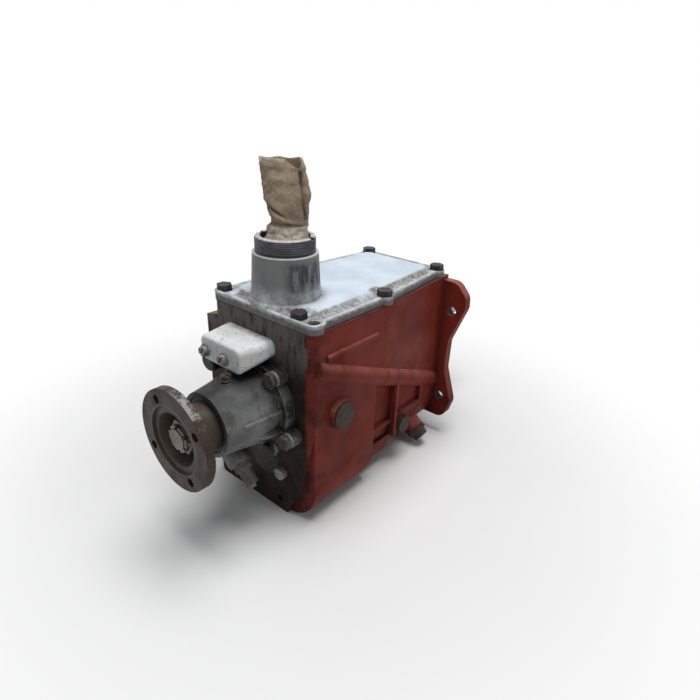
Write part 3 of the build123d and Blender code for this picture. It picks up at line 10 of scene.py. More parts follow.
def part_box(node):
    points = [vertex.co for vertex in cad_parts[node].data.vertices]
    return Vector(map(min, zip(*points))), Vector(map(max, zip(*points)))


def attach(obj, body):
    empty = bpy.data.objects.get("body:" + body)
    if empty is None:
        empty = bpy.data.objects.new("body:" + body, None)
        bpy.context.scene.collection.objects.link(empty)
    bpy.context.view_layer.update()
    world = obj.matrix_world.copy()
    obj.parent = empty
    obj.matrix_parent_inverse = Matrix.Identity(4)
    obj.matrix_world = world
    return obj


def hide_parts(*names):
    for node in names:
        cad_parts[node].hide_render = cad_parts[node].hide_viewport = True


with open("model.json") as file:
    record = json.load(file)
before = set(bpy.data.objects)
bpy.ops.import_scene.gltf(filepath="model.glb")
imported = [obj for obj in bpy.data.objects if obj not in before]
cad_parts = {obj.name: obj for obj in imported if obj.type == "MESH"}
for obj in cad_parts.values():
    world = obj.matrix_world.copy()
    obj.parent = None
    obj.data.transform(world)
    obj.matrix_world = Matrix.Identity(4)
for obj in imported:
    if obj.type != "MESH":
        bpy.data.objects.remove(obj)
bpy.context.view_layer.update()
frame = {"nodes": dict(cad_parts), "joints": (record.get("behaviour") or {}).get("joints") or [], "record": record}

nodes = frame["nodes"]
joints = {joint["name"]: joint for joint in frame["joints"]}
mounts = {mount["name"]: mount for mount in frame["record"]["mounts"]}

# The camera, worked out from the case's straight edges
frame_pixels = 700
focal_pixels = 521.77
centre_pixel = (358.47, 337.32)
sensor_width = 36.0
eye = Vector((-0.6680, -0.4357, 0.3383))
look = Vector((0.7135, 0.5663, -0.4125)).normalized()
down = Vector((-0.2965, -0.2894, -0.9101))

# Places and sizes of the gearbox, in metres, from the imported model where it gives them
case_low, case_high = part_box("gearbox_case")
case_rear = round(case_low.x, 4)
floor_height = round(case_low.z, 4)
seat_height = round(case_high.z, 4)
case_right = -0.085
front_plate_back = -0.014
cover_top = 0.119
panel_top = 0.125
tower_x = mounts["tower_thread"]["pos_m"][0]
tower_thread_radius = mounts["tower_thread"]["dims"]["r_mm"] / 1000
tower_top = round(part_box("top_cover")[1].z, 4)
tower_ledge = 0.1777
tower_foot_radius = 0.0415
tower_wall_middle = 0.037
slot_angle = radians(-70)
slot_half_width = 0.0040
flange_radius = round(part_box("output_flange")[1].y, 4)
flange_recess_radius = mounts["output_pilot"]["dims"]["r_mm"] / 1000
stub_end = round(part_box("output_shaft")[0].x, 4)
stub_radius = 0.012
speedo_foot = Vector(joints["speedometer_spin"]["pos_m"])
speedo_axis = Vector(joints["speedometer_spin"]["axis"])
nipple_radius = mounts["speedometer_thread"]["dims"]["r_mm"] / 1000
tower_pitch = 0.0020
fine_pitch = 0.0015
gearbox_middle = Vector((-0.17, 0, 0.02))

# The direction to the right of the picture, and how far along it the tower's axis lies
picture_right = (0.635, -0.772, 0.0)
tower_line = -0.166


def linked(name, data):
    """A new object in the scene."""
    made = bpy.data.objects.new(name, data)
    bpy.context.collection.objects.link(made)
    return made


def mesh_data(builder, name):
    """A mesh made from the builder, which is freed."""
    data = bpy.data.meshes.new(name)
    builder.to_mesh(data)
    builder.free()
    return data


def plain_mesh(holder, name):
    """The mesh that a holder's modifiers or bevel make. The holder itself is removed."""
    depsgraph = bpy.context.evaluated_depsgraph_get()
    mesh = bpy.data.meshes.new_from_object(holder.evaluated_get(depsgraph), depsgraph=depsgraph)
    bpy.data.objects.remove(holder)
    mesh.name = name
    return mesh


def part_way(value, start, length):
    """How far a value is along a stretch: 0 up to its start and 1 from its end."""
    return min(max((value - start) / length, 0.0), 1.0)


def eased(share):
    """A share from 0 to 1, with a soft start and end."""
    return share * share * (3 - 2 * share)


def ridge_at(value, middle, width):
    """1 at the middle, and nothing a few widths away."""
    return exp(-(((value - middle) / width) ** 2))


def make_camera():
    data = bpy.data.cameras.new("camera")
    data.sensor_width = sensor_width
    data.lens = focal_pixels / frame_pixels * sensor_width
    data.shift_x = 0.5 - centre_pixel[0] / frame_pixels
    data.shift_y = centre_pixel[1] / frame_pixels - 0.5
    data.clip_start = 0.02
    camera = linked("camera", data)
    right = look.cross(-down).normalized()
    up = right.cross(look)
    turn = Matrix((right, up, -look)).transposed()
    camera.matrix_world = Matrix.Translation(eye) @ turn.to_4x4()
    bpy.context.scene.camera = camera


make_camera()
bpy.context.scene.view_settings.view_transform = "Standard"


class Paint:
    """A material's nodes, added one at a time and joined as they are made."""

    def __init__(self, name):
        self.material = bpy.data.materials.new(name)
        self.material.use_nodes = True
        self.tree = self.material.node_tree
        self.tree.nodes.clear()
        self.shader = self.add("ShaderNodeBsdfPrincipled")
        self.output = self.add("ShaderNodeOutputMaterial")
        self.join(self.shader.outputs[0], self.output.inputs["Surface"])
        self.place = self.add("ShaderNodeTexCoord").outputs["Object"]
        self.bump_normal = None

    def add(self, kind, **settings):
        node = self.tree.nodes.new(kind)
        for key, value in settings.items():
            setattr(node, key, value)
        return node

    def join(self, output, socket):
        self.tree.links.new(output, socket)

    def set(self, socket, value):
        """A socket takes another socket's output, a number or a colour."""
        if isinstance(value, bpy.types.NodeSocket):
            self.join(value, socket)
        elif isinstance(value, (int, float)):
            socket.default_value = value
        else:
            short = len(value) < len(socket.default_value)
            socket.default_value = (*value, 1.0) if short else value

    def maths(self, operation, first, second, clamp=False):
        node = self.add("ShaderNodeMath", operation=operation, use_clamp=clamp)
        self.set(node.inputs[0], first)
        self.set(node.inputs[1], second)
        return node.outputs[0]

    def times(self, first, *others):
        for other in others:
            first = self.maths("MULTIPLY", first, other)
        return first

    def highest(self, first, *others):
        for other in others:
            first = self.maths("MAXIMUM", first, other)
        return first

    def noise(self, scale, detail, roughness, stretch=None, distortion=0.0):
        node = self.add("ShaderNodeTexNoise")
        place = self.place
        if stretch:
            mapping = self.add("ShaderNodeMapping")
            mapping.inputs["Scale"].default_value = stretch
            self.join(self.place, mapping.inputs["Vector"])
            place = mapping.outputs[0]
        self.join(place, node.inputs["Vector"])
        node.inputs["Scale"].default_value = scale
        node.inputs["Detail"].default_value = detail
        node.inputs["Roughness"].default_value = roughness
        node.inputs["Distortion"].default_value = distortion
        return node.outputs["Fac"]

    def range(self, value, low, high, to_low=0.0, to_high=1.0, smooth=True):
        """The value moved from one stretch to another and held at its ends."""
        node = self.add("ShaderNodeMapRange")
        node.interpolation_type = "SMOOTHSTEP" if smooth else "LINEAR"
        self.set(node.inputs["Value"], value)
        ends = {"From Min": low, "From Max": high, "To Min": to_low, "To Max": to_high}
        for name, number in ends.items():
            node.inputs[name].default_value = number
        return node.outputs["Result"]

    def mix(self, factor, first, second):
        node = self.add("ShaderNodeMix", data_type="RGBA")
        self.set(node.inputs["Factor"], factor)
        self.set(node.inputs[6], first)
        self.set(node.inputs[7], second)
        return node.outputs[2]

    def axis(self, letter):
        node = self.add("ShaderNodeSeparateXYZ")
        self.join(self.place, node.inputs[0])
        return node.outputs[letter]

    def facing(self, letter):
        """How far the surface faces along an axis, from -1 to 1."""
        geometry = self.add("ShaderNodeNewGeometry")
        node = self.add("ShaderNodeSeparateXYZ")
        self.join(geometry.outputs["Normal"], node.inputs[0])
        return node.outputs[letter]

    def along(self, direction):
        """How far a point lies in a direction from the origin."""
        node = self.add("ShaderNodeVectorMath", operation="DOT_PRODUCT")
        self.join(self.place, node.inputs[0])
        node.inputs[1].default_value = direction
        return node.outputs["Value"]

    def reach(self, centre, counted):
        """The distance from the centre, in the directions that are counted with a 1."""
        move = self.add("ShaderNodeVectorMath", operation="SUBTRACT")
        self.join(self.place, move.inputs[0])
        move.inputs[1].default_value = centre
        flat = self.add("ShaderNodeVectorMath", operation="MULTIPLY")
        self.join(move.outputs[0], flat.inputs[0])
        flat.inputs[1].default_value = counted
        size = self.add("ShaderNodeVectorMath", operation="LENGTH")
        self.join(flat.outputs[0], size.inputs[0])
        return size.outputs["Value"]

    def corners(self, depth):
        """High in corners and under overhangs within the depth, for painted shade."""
        node = self.add("ShaderNodeAmbientOcclusion", samples=6)
        node.inputs["Distance"].default_value = depth
        return self.maths("SUBTRACT", 1.0, node.outputs["AO"], clamp=True)

    def edges(self, radius):
        """High where the surface turns an edge within the radius."""
        geometry = self.add("ShaderNodeNewGeometry")
        dot = self.add("ShaderNodeVectorMath", operation="DOT_PRODUCT")
        self.join(self.bevelled(radius), dot.inputs[0])
        self.join(geometry.outputs["Normal"], dot.inputs[1])
        return self.maths("SUBTRACT", 1.0, dot.outputs["Value"], clamp=True)

    def bevelled(self, radius):
        bevel = self.add("ShaderNodeBevel", samples=6)
        bevel.inputs["Radius"].default_value = radius
        return bevel.outputs[0]

    def round_edges(self, radius):
        self.bump_normal = self.bevelled(radius)

    def bump(self, height, strength, distance):
        node = self.add("ShaderNodeBump")
        node.inputs["Strength"].default_value = strength
        node.inputs["Distance"].default_value = distance
        self.join(height, node.inputs["Height"])
        if self.bump_normal:
            self.join(self.bump_normal, node.inputs["Normal"])
        self.bump_normal = node.outputs[0]

    def finish(self, colour, roughness, metallic=0.0, specular=0.5):
        self.set(self.shader.inputs["Base Color"], colour)
        self.set(self.shader.inputs["Roughness"], roughness)
        self.set(self.shader.inputs["Metallic"], metallic)
        self.shader.inputs["Specular IOR Level"].default_value = specular
        if self.bump_normal:
            self.join(self.bump_normal, self.shader.inputs["Normal"])
        return self.material


def case_paint():
    """Brick-red paint on a sand casting, greasy at the back, grimy and painted with shade in its corners."""
    paint = Paint("case_paint")
    paint.round_edges(0.0030)
    paint.bump(paint.noise(340, 2, 0.5), 0.30, 0.0005)
    paint.bump(paint.noise(70, 3, 0.55), 0.32, 0.0015)
    patches = paint.range(paint.noise(15, 5, 0.6), 0.35, 0.68)
    colour = paint.mix(patches, (0.190, 0.027, 0.016), (0.120, 0.016, 0.010))
    specks = paint.range(paint.noise(280, 2, 0.7), 0.62, 0.74)
    colour = paint.mix(paint.times(specks, 0.3), colour, (0.25, 0.066, 0.046))
    # Dust, and a painted highlight, on the surfaces that face up
    dust_and_top_light = paint.range(paint.facing("Z"), 0.05, 0.75)
    dust_and_top_light = paint.times(dust_and_top_light, paint.range(paint.noise(35, 4, 0.6), 0.3, 0.7, 0.25, 0.85))
    colour = paint.mix(dust_and_top_light, colour, (0.36, 0.125, 0.100))
    worn = paint.range(paint.edges(0.0018), 0.04, 0.28)
    worn = paint.times(worn, paint.range(paint.noise(90, 4, 0.7), 0.46, 0.62), 0.8)
    colour = paint.mix(worn, colour, (0.23, 0.115, 0.095))
    # Painted shade in the corners, broken into patches
    corner_shade = paint.range(paint.corners(0.030), 0.24, 0.62)
    corner_shade = paint.times(corner_shade, paint.range(paint.noise(48, 4, 0.65), 0.25, 0.6, 0.45, 0.95))
    wander = paint.range(paint.noise(45, 4, 0.65), 0.2, 0.8, -0.006, 0.006, smooth=False)
    back = paint.maths("ADD", paint.axis("X"), wander)
    smear = paint.range(back, case_rear + 0.055, case_rear + 0.003)
    smear = paint.times(smear, paint.range(paint.noise(26, 5, 0.7), 0.42, 0.64), 0.85)
    low = paint.range(paint.axis("Z"), floor_height + 0.098, floor_height + 0.008)
    low = paint.times(low, paint.range(paint.noise(30, 4, 0.7), 0.45, 0.75), 0.6)
    # Painted shade in the band just below the cover
    shade_under_cover = paint.range(paint.axis("Z"), seat_height - 0.004, seat_height, 0.0, 0.5)
    # One dark mix: painted shade, oil smeared at the back, and darker patches towards the bottom
    dirt_and_shade = paint.highest(corner_shade, smear, low, shade_under_cover)
    colour = paint.mix(dirt_and_shade, colour, (0.030, 0.009, 0.007))

    # The front plate is dark low down
    shade = paint.times(
        paint.range(paint.axis("X"), front_plate_back - 0.003, front_plate_back + 0.004),
        paint.range(paint.axis("Z"), floor_height + 0.088, floor_height + 0.058), 0.8,
    )
    colour = paint.mix(shade, colour, (0.016, 0.005, 0.006))

    # Oil covers the rear face nearly to its right edge, with dry streaks higher up
    oil = paint.range(paint.noise(50, 5, 0.7), 0.35, 0.7)
    oil = paint.mix(oil, (0.010, 0.007, 0.005), (0.034, 0.024, 0.019))
    dry = paint.range(paint.axis("Z"), seat_height - 0.068, seat_height - 0.023)
    streaked = paint.noise(1.0, 4, 0.7, stretch=(70, 70, 18))
    dry = paint.times(dry, paint.range(streaked, 0.36, 0.52, 0.1, 0.9))
    oil = paint.mix(dry, oil, (0.135, 0.120, 0.110))
    aside = paint.maths("ADD", paint.axis("Y"), wander)
    greasy = paint.times(paint.range(back, case_rear + 0.0085, case_rear + 0.0015),
                         paint.range(aside, case_right + 0.0065, case_right + 0.0105))
    colour = paint.mix(greasy, colour, oil)
    rough = paint.range(paint.noise(25, 4, 0.6), 0.3, 0.7, 0.40, 0.62)
    return paint.finish(colour, rough, 0.0, 0.09)


def casting(name, dark, light, stain, stain_share):
    """Sand-cast aluminium with oily stains, bright along its edges. Each cover adds to it."""
    paint = Paint(name)
    paint.round_edges(0.0020)
    paint.bump(paint.noise(520, 3, 0.6), 0.30, 0.0005)
    paint.bump(paint.noise(90, 3, 0.5), 0.22, 0.0010)
    colour = paint.mix(paint.range(paint.noise(22, 6, 0.65), 0.32, 0.68), light, dark)
    blots = paint.noise(34, 5, 0.7, distortion=0.6)
    blots = paint.range(blots, 1 - stain_share - 0.12, 1 - stain_share + 0.06)
    colour = paint.mix(paint.times(blots, 0.7), colour, stain)
    specks = paint.range(paint.noise(330, 2, 0.7), 0.60, 0.70)
    colour = paint.mix(paint.times(specks, 0.4), colour, stain)
    bright = paint.range(paint.edges(0.0014), 0.04, 0.25)
    bright = paint.times(bright, paint.range(paint.noise(120, 3, 0.6), 0.32, 0.56), 0.75)
    colour = paint.mix(bright, colour, (0.64, 0.65, 0.64))
    rough = paint.range(paint.noise(30, 4, 0.6), 0.3, 0.7, 0.38, 0.60)
    return paint, colour, rough


def cover_casting():
    """The top cover: pale on its panel, stained round it, with a dull machined tower."""
    paint, colour, rough = casting(
        "cover_casting", (0.50, 0.575, 0.65), (0.62, 0.70, 0.78), (0.42, 0.42, 0.41), 0.20
    )
    height = paint.axis("Z")
    tower = paint.reach((tower_x, 0, 0), (1, 1, 0))

    # Sandy stains below the panel's top and round the tower, painted shade in corners, a dull side edge
    sandy = paint.mix(paint.range(paint.noise(130, 5, 0.8), 0.40, 0.62), (0.36, 0.33, 0.29),
                      (0.085, 0.072, 0.060))
    below = paint.range(height, panel_top - 0.0003, panel_top - 0.0024)
    ring = paint.range(tower, tower_foot_radius + 0.0145, tower_foot_radius + 0.0005)
    patch = paint.range(paint.noise(42, 5, 0.7), 0.30, 0.56)
    stained = paint.times(paint.highest(below, paint.times(ring, 0.75)), patch, 0.9)
    colour = paint.mix(stained, colour, sandy)
    # Painted shade in the corners
    grime_and_shade = paint.range(paint.corners(0.012), 0.30, 0.75)
    colour = paint.mix(paint.times(grime_and_shade, 0.85), colour, (0.065, 0.056, 0.048))
    edge_side = paint.range(height, cover_top - 0.0025, cover_top - 0.0045)
    colour = paint.mix(paint.times(edge_side, 0.85), colour, (0.115, 0.112, 0.108))

    # The machined tower, with oil down its right side
    on_tower = paint.times(
        paint.range(height, panel_top + 0.002, panel_top + 0.025),
        paint.range(tower, tower_foot_radius + 0.0065, tower_foot_radius + 0.0025),
    )
    dull = paint.mix(paint.range(paint.noise(60, 4, 0.6), 0.3, 0.7), (0.165, 0.172, 0.172),
                     (0.205, 0.212, 0.210))
    colour = paint.mix(on_tower, colour, dull)
    streaks = paint.noise(1.0, 5, 0.75, stretch=(120, 120, 26))
    side = paint.range(paint.along(picture_right), tower_line + 0.001, tower_line + 0.013)
    band = paint.times(paint.range(height, panel_top + 0.008, panel_top + 0.018),
                       paint.range(height, tower_ledge - 0.0007, tower_ledge - 0.0117))
    oil = paint.times(paint.range(streaks, 0.40, 0.54), side, band, on_tower, 0.92)
    colour = paint.mix(oil, colour, (0.038, 0.041, 0.048))

    # The dark thread between a bright ledge and a bright rim
    thread = paint.range(height, tower_ledge - 0.0002, tower_ledge + 0.0004)
    colour = paint.mix(thread, colour, (0.035, 0.035, 0.040))
    ledge = paint.times(
        paint.range(height, tower_ledge - 0.0015, tower_ledge - 0.0007),
        paint.range(tower, tower_thread_radius + 0.0003, tower_thread_radius + 0.0011),
    )
    colour = paint.mix(paint.times(ledge, 0.85), colour, (0.62, 0.62, 0.61))
    rim = paint.times(paint.range(height, tower_top - 0.0016, tower_top - 0.0006),
                      paint.range(paint.noise(150, 4, 0.7), 0.32, 0.52, 0.35, 1.0))
    colour = paint.mix(rim, colour, (0.56, 0.54, 0.53))
    return paint.finish(colour, rough, 0.05, 0.20)


def rear_casting():
    """The rear cover: oily on top and round its flange, wiped clean on its side, with painted shade and
    highlights.
    """
    paint, colour, rough = casting(
        "rear_casting", (0.092, 0.094, 0.092), (0.195, 0.200, 0.195), (0.040, 0.036, 0.033), 0.40
    )
    # Oil and painted shade under the block lie where it faces up and left, measured from the shaft line
    upward = paint.range(paint.along((0.0, 0.50, 0.866)), -0.010, 0.034)
    upward = paint.times(upward, paint.range(paint.noise(30, 4, 0.6), 0.25, 0.6, 0.75, 1.0))
    colour = paint.mix(upward, colour, (0.022, 0.021, 0.023))
    # Oil near the case, and painted shade in the corners
    near_case = paint.range(paint.axis("X"), case_rear - 0.044, case_rear - 0.008)
    near_case = paint.times(near_case, paint.range(paint.noise(40, 4, 0.7), 0.35, 0.6, 0.15, 0.95))
    grime_and_shade = paint.range(paint.corners(0.018), 0.22, 0.60, 0.0, 0.97)
    colour = paint.mix(paint.highest(near_case, grime_and_shade), colour, (0.010, 0.009, 0.008))
    # A painted highlight along the edges
    edge_highlight = paint.range(paint.edges(0.0012), 0.06, 0.28)
    colour = paint.mix(paint.times(edge_highlight, 0.6), colour, (0.52, 0.52, 0.50))
    return paint.finish(colour, rough, 0.12, 0.22)


def front_casting():
    """The front cover: the same metal, cleaner than the rear cover."""
    paint, colour, rough = casting(
        "front_casting", (0.20, 0.20, 0.20), (0.36, 0.36, 0.35), (0.09, 0.075, 0.06), 0.34
    )
    return paint.finish(colour, rough, 0.3, 0.4)


def block_paint():
    """Off-white paint, chipped at edges, dirty where it meets the case, with painted shade below and in corners.
    """
    paint = Paint("block_paint")
    paint.round_edges(0.002)
    paint.bump(paint.noise(260, 3, 0.6), 0.2, 0.0005)
    tone = paint.range(paint.noise(30, 5, 0.6), 0.35, 0.7)
    colour = paint.mix(tone, (0.73, 0.75, 0.77), (0.62, 0.62, 0.60))
    chips = paint.range(paint.noise(210, 3, 0.75), 0.605, 0.655)
    colour = paint.mix(paint.times(chips, 0.85), colour, (0.13, 0.11, 0.095))
    edge = paint.range(paint.edges(0.0012), 0.03, 0.2)
    edge = paint.times(edge, paint.range(paint.noise(170, 4, 0.75), 0.50, 0.58), 0.8)
    colour = paint.mix(edge, colour, (0.10, 0.085, 0.075))
    # Dirt and painted shade where it meets the case, and painted shade in its corners
    grime_and_shade = paint.range(paint.axis("X"), case_rear - 0.012, case_rear - 0.001)
    grime_and_shade = paint.times(grime_and_shade, paint.range(paint.noise(60, 4, 0.7), 0.3, 0.6, 0.3, 1.0), 0.7)
    corner_shade = paint.range(paint.corners(0.008), 0.35, 0.8, 0.0, 0.8)
    colour = paint.mix(paint.highest(grime_and_shade, corner_shade), colour, (0.10, 0.085, 0.070))
    # Painted shade on the faces that look down
    under = paint.range(paint.facing("Z"), -0.2, -0.9, 0.0, 0.5)
    colour = paint.mix(under, colour, (0.20, 0.17, 0.14))
    return paint.finish(colour, 0.40, 0.0, 0.3)


def worn_steel(name, dark, light, worn, rough=(0.40, 0.65), metallic=0.2, edge=0.0010):
    """Oily steel, bare at its edges. Pits, grimy corners and painted shade are deeper tones of its dark colour."""
    paint = Paint(name)
    paint.round_edges(0.0008)
    paint.bump(paint.noise(600, 3, 0.6), 0.25, 0.0003)
    colour = paint.mix(paint.range(paint.noise(70, 5, 0.65), 0.35, 0.68), dark, light)
    spots = paint.range(paint.noise(260, 3, 0.75), 0.58, 0.66)
    colour = paint.mix(paint.times(spots, 0.5), colour, [0.45 * c for c in dark])
    bare = paint.range(paint.edges(edge), 0.03, 0.22)
    bare = paint.times(bare, paint.range(paint.noise(160, 3, 0.6), 0.38, 0.58))
    colour = paint.mix(bare, colour, worn)
    # Grime and painted shade in the corners
    grime_and_shade = paint.range(paint.corners(0.006), 0.35, 0.8, 0.0, 0.7)
    colour = paint.mix(grime_and_shade, colour, [0.3 * c for c in dark])
    rough = paint.range(paint.noise(50, 3, 0.6), 0.3, 0.7, *rough)
    return paint.finish(colour, rough, metallic, 0.2)


def washer_steel():
    """Black washers on the top cover and pale ones on the rear cover."""
    paint = Paint("washer_steel")
    paint.round_edges(0.0006)
    paint.bump(paint.noise(600, 3, 0.6), 0.25, 0.0003)
    behind = paint.range(paint.axis("X"), case_rear - 0.004, case_rear - 0.008)
    colour = paint.mix(behind, (0.045, 0.042, 0.040), (0.30, 0.295, 0.28))
    spots = paint.range(paint.noise(240, 3, 0.75), 0.50, 0.62)
    colour = paint.mix(paint.times(spots, 0.7), colour, (0.035, 0.030, 0.027))
    return paint.finish(colour, 0.5, 0.2, 0.25)


def flange_rust():
    """A fine brown rust, worn round the recess and knocked bright along one side of the rim."""
    paint = Paint("flange_rust")
    paint.round_edges(0.0012)
    paint.bump(paint.noise(380, 4, 0.7), 0.30, 0.0005)
    tone = paint.range(paint.noise(40, 5, 0.65), 0.35, 0.68)
    colour = paint.mix(tone, (0.034, 0.022, 0.016), (0.054, 0.037, 0.029))
    pits = paint.range(paint.noise(240, 4, 0.75), 0.58, 0.68)
    colour = paint.mix(paint.times(pits, 0.7), colour, (0.014, 0.010, 0.008))
    radius = paint.reach((0, 0, 0), (0, 1, 1))
    ring = paint.times(
        paint.range(radius, flange_recess_radius - 0.0006, flange_recess_radius + 0.0002),
        paint.range(radius, flange_recess_radius + 0.0034, flange_recess_radius + 0.0012),
    )
    colour = paint.mix(paint.times(ring, 0.4), colour, (0.16, 0.125, 0.10))
    inside = paint.range(radius, flange_recess_radius - 0.0002, flange_recess_radius - 0.0027)
    colour = paint.mix(paint.times(inside, 0.3), colour, (0.10, 0.080, 0.062))
    knocked = paint.along((0.0, -0.45, 0.893))
    knocked = paint.range(knocked, flange_radius - 0.0100, flange_radius - 0.0002)
    rim = paint.times(paint.range(radius, flange_radius - 0.0011, flange_radius - 0.0003), knocked)
    bare = paint.times(rim, paint.range(paint.noise(95, 5, 0.8), 0.45, 0.58), 0.75)
    colour = paint.mix(bare, colour, (0.36, 0.33, 0.32))
    # Grime and painted shade in the corners
    grime_and_shade = paint.range(paint.corners(0.010), 0.35, 0.85, 0.0, 0.85)
    colour = paint.mix(grime_and_shade, colour, (0.022, 0.017, 0.014))
    rough = paint.range(paint.noise(60, 3, 0.6), 0.3, 0.7, 0.40, 0.62)
    return paint.finish(colour, rough, 0.10, 0.2)


def sacking():
    """Coarse tan cloth, its weave laid along the piece's own map."""
    paint = Paint("sacking")
    map_place = paint.add("ShaderNodeTexCoord").outputs["UV"]
    weave = []
    for direction in ("X", "Y"):
        wave = paint.add("ShaderNodeTexWave", bands_direction=direction)
        paint.join(map_place, wave.inputs["Vector"])
        wave.inputs["Scale"].default_value = 30
        wave.inputs["Distortion"].default_value = 1.6
        wave.inputs["Detail"].default_value = 2
        wave.inputs["Detail Scale"].default_value = 3
        weave.append(wave.outputs["Fac"])
    threads = paint.maths("MAXIMUM", *weave)
    paint.bump(threads, 0.75, 0.0012)
    paint.bump(paint.noise(520, 3, 0.7), 0.5, 0.0010)
    tone = paint.range(paint.noise(38, 5, 0.65), 0.3, 0.7)
    colour = paint.mix(tone, (0.57, 0.435, 0.295), (0.40, 0.29, 0.185))
    colour = paint.mix(paint.range(threads, 0.2, 0.9, 0.6, 0.0), colour, (0.15, 0.105, 0.062))
    fuzz = paint.range(paint.noise(420, 3, 0.8), 0.52, 0.66)
    colour = paint.mix(paint.times(fuzz, 0.5), colour, (0.78, 0.67, 0.52))
    inside = paint.add("ShaderNodeAttribute", attribute_name="inside").outputs["Fac"]
    colour = paint.mix(inside, colour, (0.72, 0.64, 0.50))
    # Painted shade in the folds, darker where a fold is deeper
    fold_shade = paint.add("ShaderNodeAttribute", attribute_name="fold_depth").outputs["Fac"]
    colour = paint.mix(paint.range(fold_shade, 0.15, 1.0, 0.0, 0.9), colour, (0.075, 0.048, 0.030))
    torn = paint.times(paint.range(paint.axis("Z"), rag_head - 0.0065, rag_head - 0.0010),
                       paint.range(paint.noise(160, 4, 0.7), 0.38, 0.60), 0.8)
    colour = paint.mix(torn, colour, (0.80, 0.70, 0.55))
    neck = paint.range(paint.axis("Z"), rag_out + 0.013, rag_out + 0.005)
    colour = paint.mix(paint.times(neck, 0.9), colour, (0.95, 0.85, 0.68))
    paint.shader.inputs["Sheen Weight"].default_value = 0.25
    paint.shader.inputs["Sheen Roughness"].default_value = 0.6
    return paint.finish(colour, 0.95, 0.0, 0.1)


def plain(name, colour, rough, metallic=0.0, grain=300, depth=0.0002, spread=0.25):
    """A finish of one colour with a fine grain and a slow change of tone."""
    paint = Paint(name)
    paint.bump(paint.noise(grain, 3, 0.6), 0.3, depth)
    darker = [c * (1 - spread) for c in colour]
    tone = paint.mix(paint.range(paint.noise(50, 4, 0.6), 0.3, 0.7), colour, darker)
    return paint.finish(tone, rough, metallic)


def wear(piece, material):
    """Every material slot of a piece gets this finish."""
    if not piece.material_slots:
        piece.data.materials.append(material)
    for slot in piece.material_slots:
        slot.material = material


black_steel = worn_steel(
    "black_steel", (0.022, 0.021, 0.022), (0.052, 0.049, 0.048), (0.22, 0.21, 0.20)
)
oily_steel = worn_steel(
    "oily_steel", (0.034, 0.031, 0.029), (0.095, 0.090, 0.085), (0.36, 0.34, 0.32),
    rough=(0.35, 0.6), edge=0.0014,
)
plug_steel = worn_steel(
    "plug_steel", (0.036, 0.022, 0.017), (0.058, 0.039, 0.030), (0.15, 0.125, 0.09)
)
nut_steel = worn_steel(
    "nut_steel", (0.165, 0.135, 0.115), (0.255, 0.215, 0.185), (0.36, 0.32, 0.28), metallic=0.3
)
grey_steel = worn_steel(
    "grey_steel", (0.17, 0.165, 0.155), (0.31, 0.305, 0.29), (0.52, 0.51, 0.49)
)
nipple_steel = worn_steel(
    "nipple_steel", (0.075, 0.066, 0.056), (0.15, 0.135, 0.118), (0.40, 0.37, 0.34)
)
thread_steel = worn_steel(
    "thread_steel", (0.075, 0.075, 0.082), (0.16, 0.16, 0.17), (0.34, 0.34, 0.35),
    rough=(0.35, 0.55), metallic=0.4, edge=0.0005,
)
bright_steel = plain("bright_steel", (0.42, 0.42, 0.41), 0.36, 0.85)
bead_metal = plain(
    "bead_metal", (0.62, 0.65, 0.68), 0.42, 0.1, grain=420, depth=0.0004, spread=0.45
)
gasket_board = plain("gasket_board", (0.075, 0.065, 0.055), 0.9)
seal_black = plain("seal_black", (0.018, 0.018, 0.018), 0.55)
ring_brass = plain("ring_brass", (0.60, 0.42, 0.16), 0.32, 0.9)

finishes = {
    "gearbox_case": case_paint(),
    "top_cover": cover_casting(),
    "rear_cover": rear_casting(),
    "front_cover": front_casting(),
    "rail_end_cover": block_paint(),
    "output_flange": flange_rust(),
    "output_shaft": nut_steel,
    "idler_shaft": oily_steel,
    "bolt_washers": washer_steel(),
    "rear_cover_bolts": oily_steel,
    "filler_plug": plug_steel,
    "drain_plug": plug_steel,
    "flange_nut": nut_steel,
    "flange_washer": nut_steel,
    "side_plug": plug_steel,
    "speedometer_sleeve": nipple_steel,
    "speedometer_gear": grey_steel,
    "rear_face_plug": grey_steel,
    "breather_plug": oily_steel,
    "end_cover_screws": grey_steel,
    "cover_gasket": gasket_board,
    "rear_cover_gasket": gasket_board,
    "input_oil_seal": seal_black,
    "output_oil_seal": seal_black,
    "synchro_rings": ring_brass,
}
black_nodes = (
    "cover_bolts", "front_cover_bolts", "countershaft_front_plug", "countershaft_rear_plug",
    "reverse_rail_cap",
)
for name, piece in nodes.items():
    wear(piece, finishes.get(name, black_steel if name in black_nodes else bright_steel))


def new_piece(name, mesh, material, body):
    """A piece of the scene's own, on the body that it moves with."""
    piece = linked(name, mesh)
    wear(piece, material)
    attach(piece, body)
    return piece


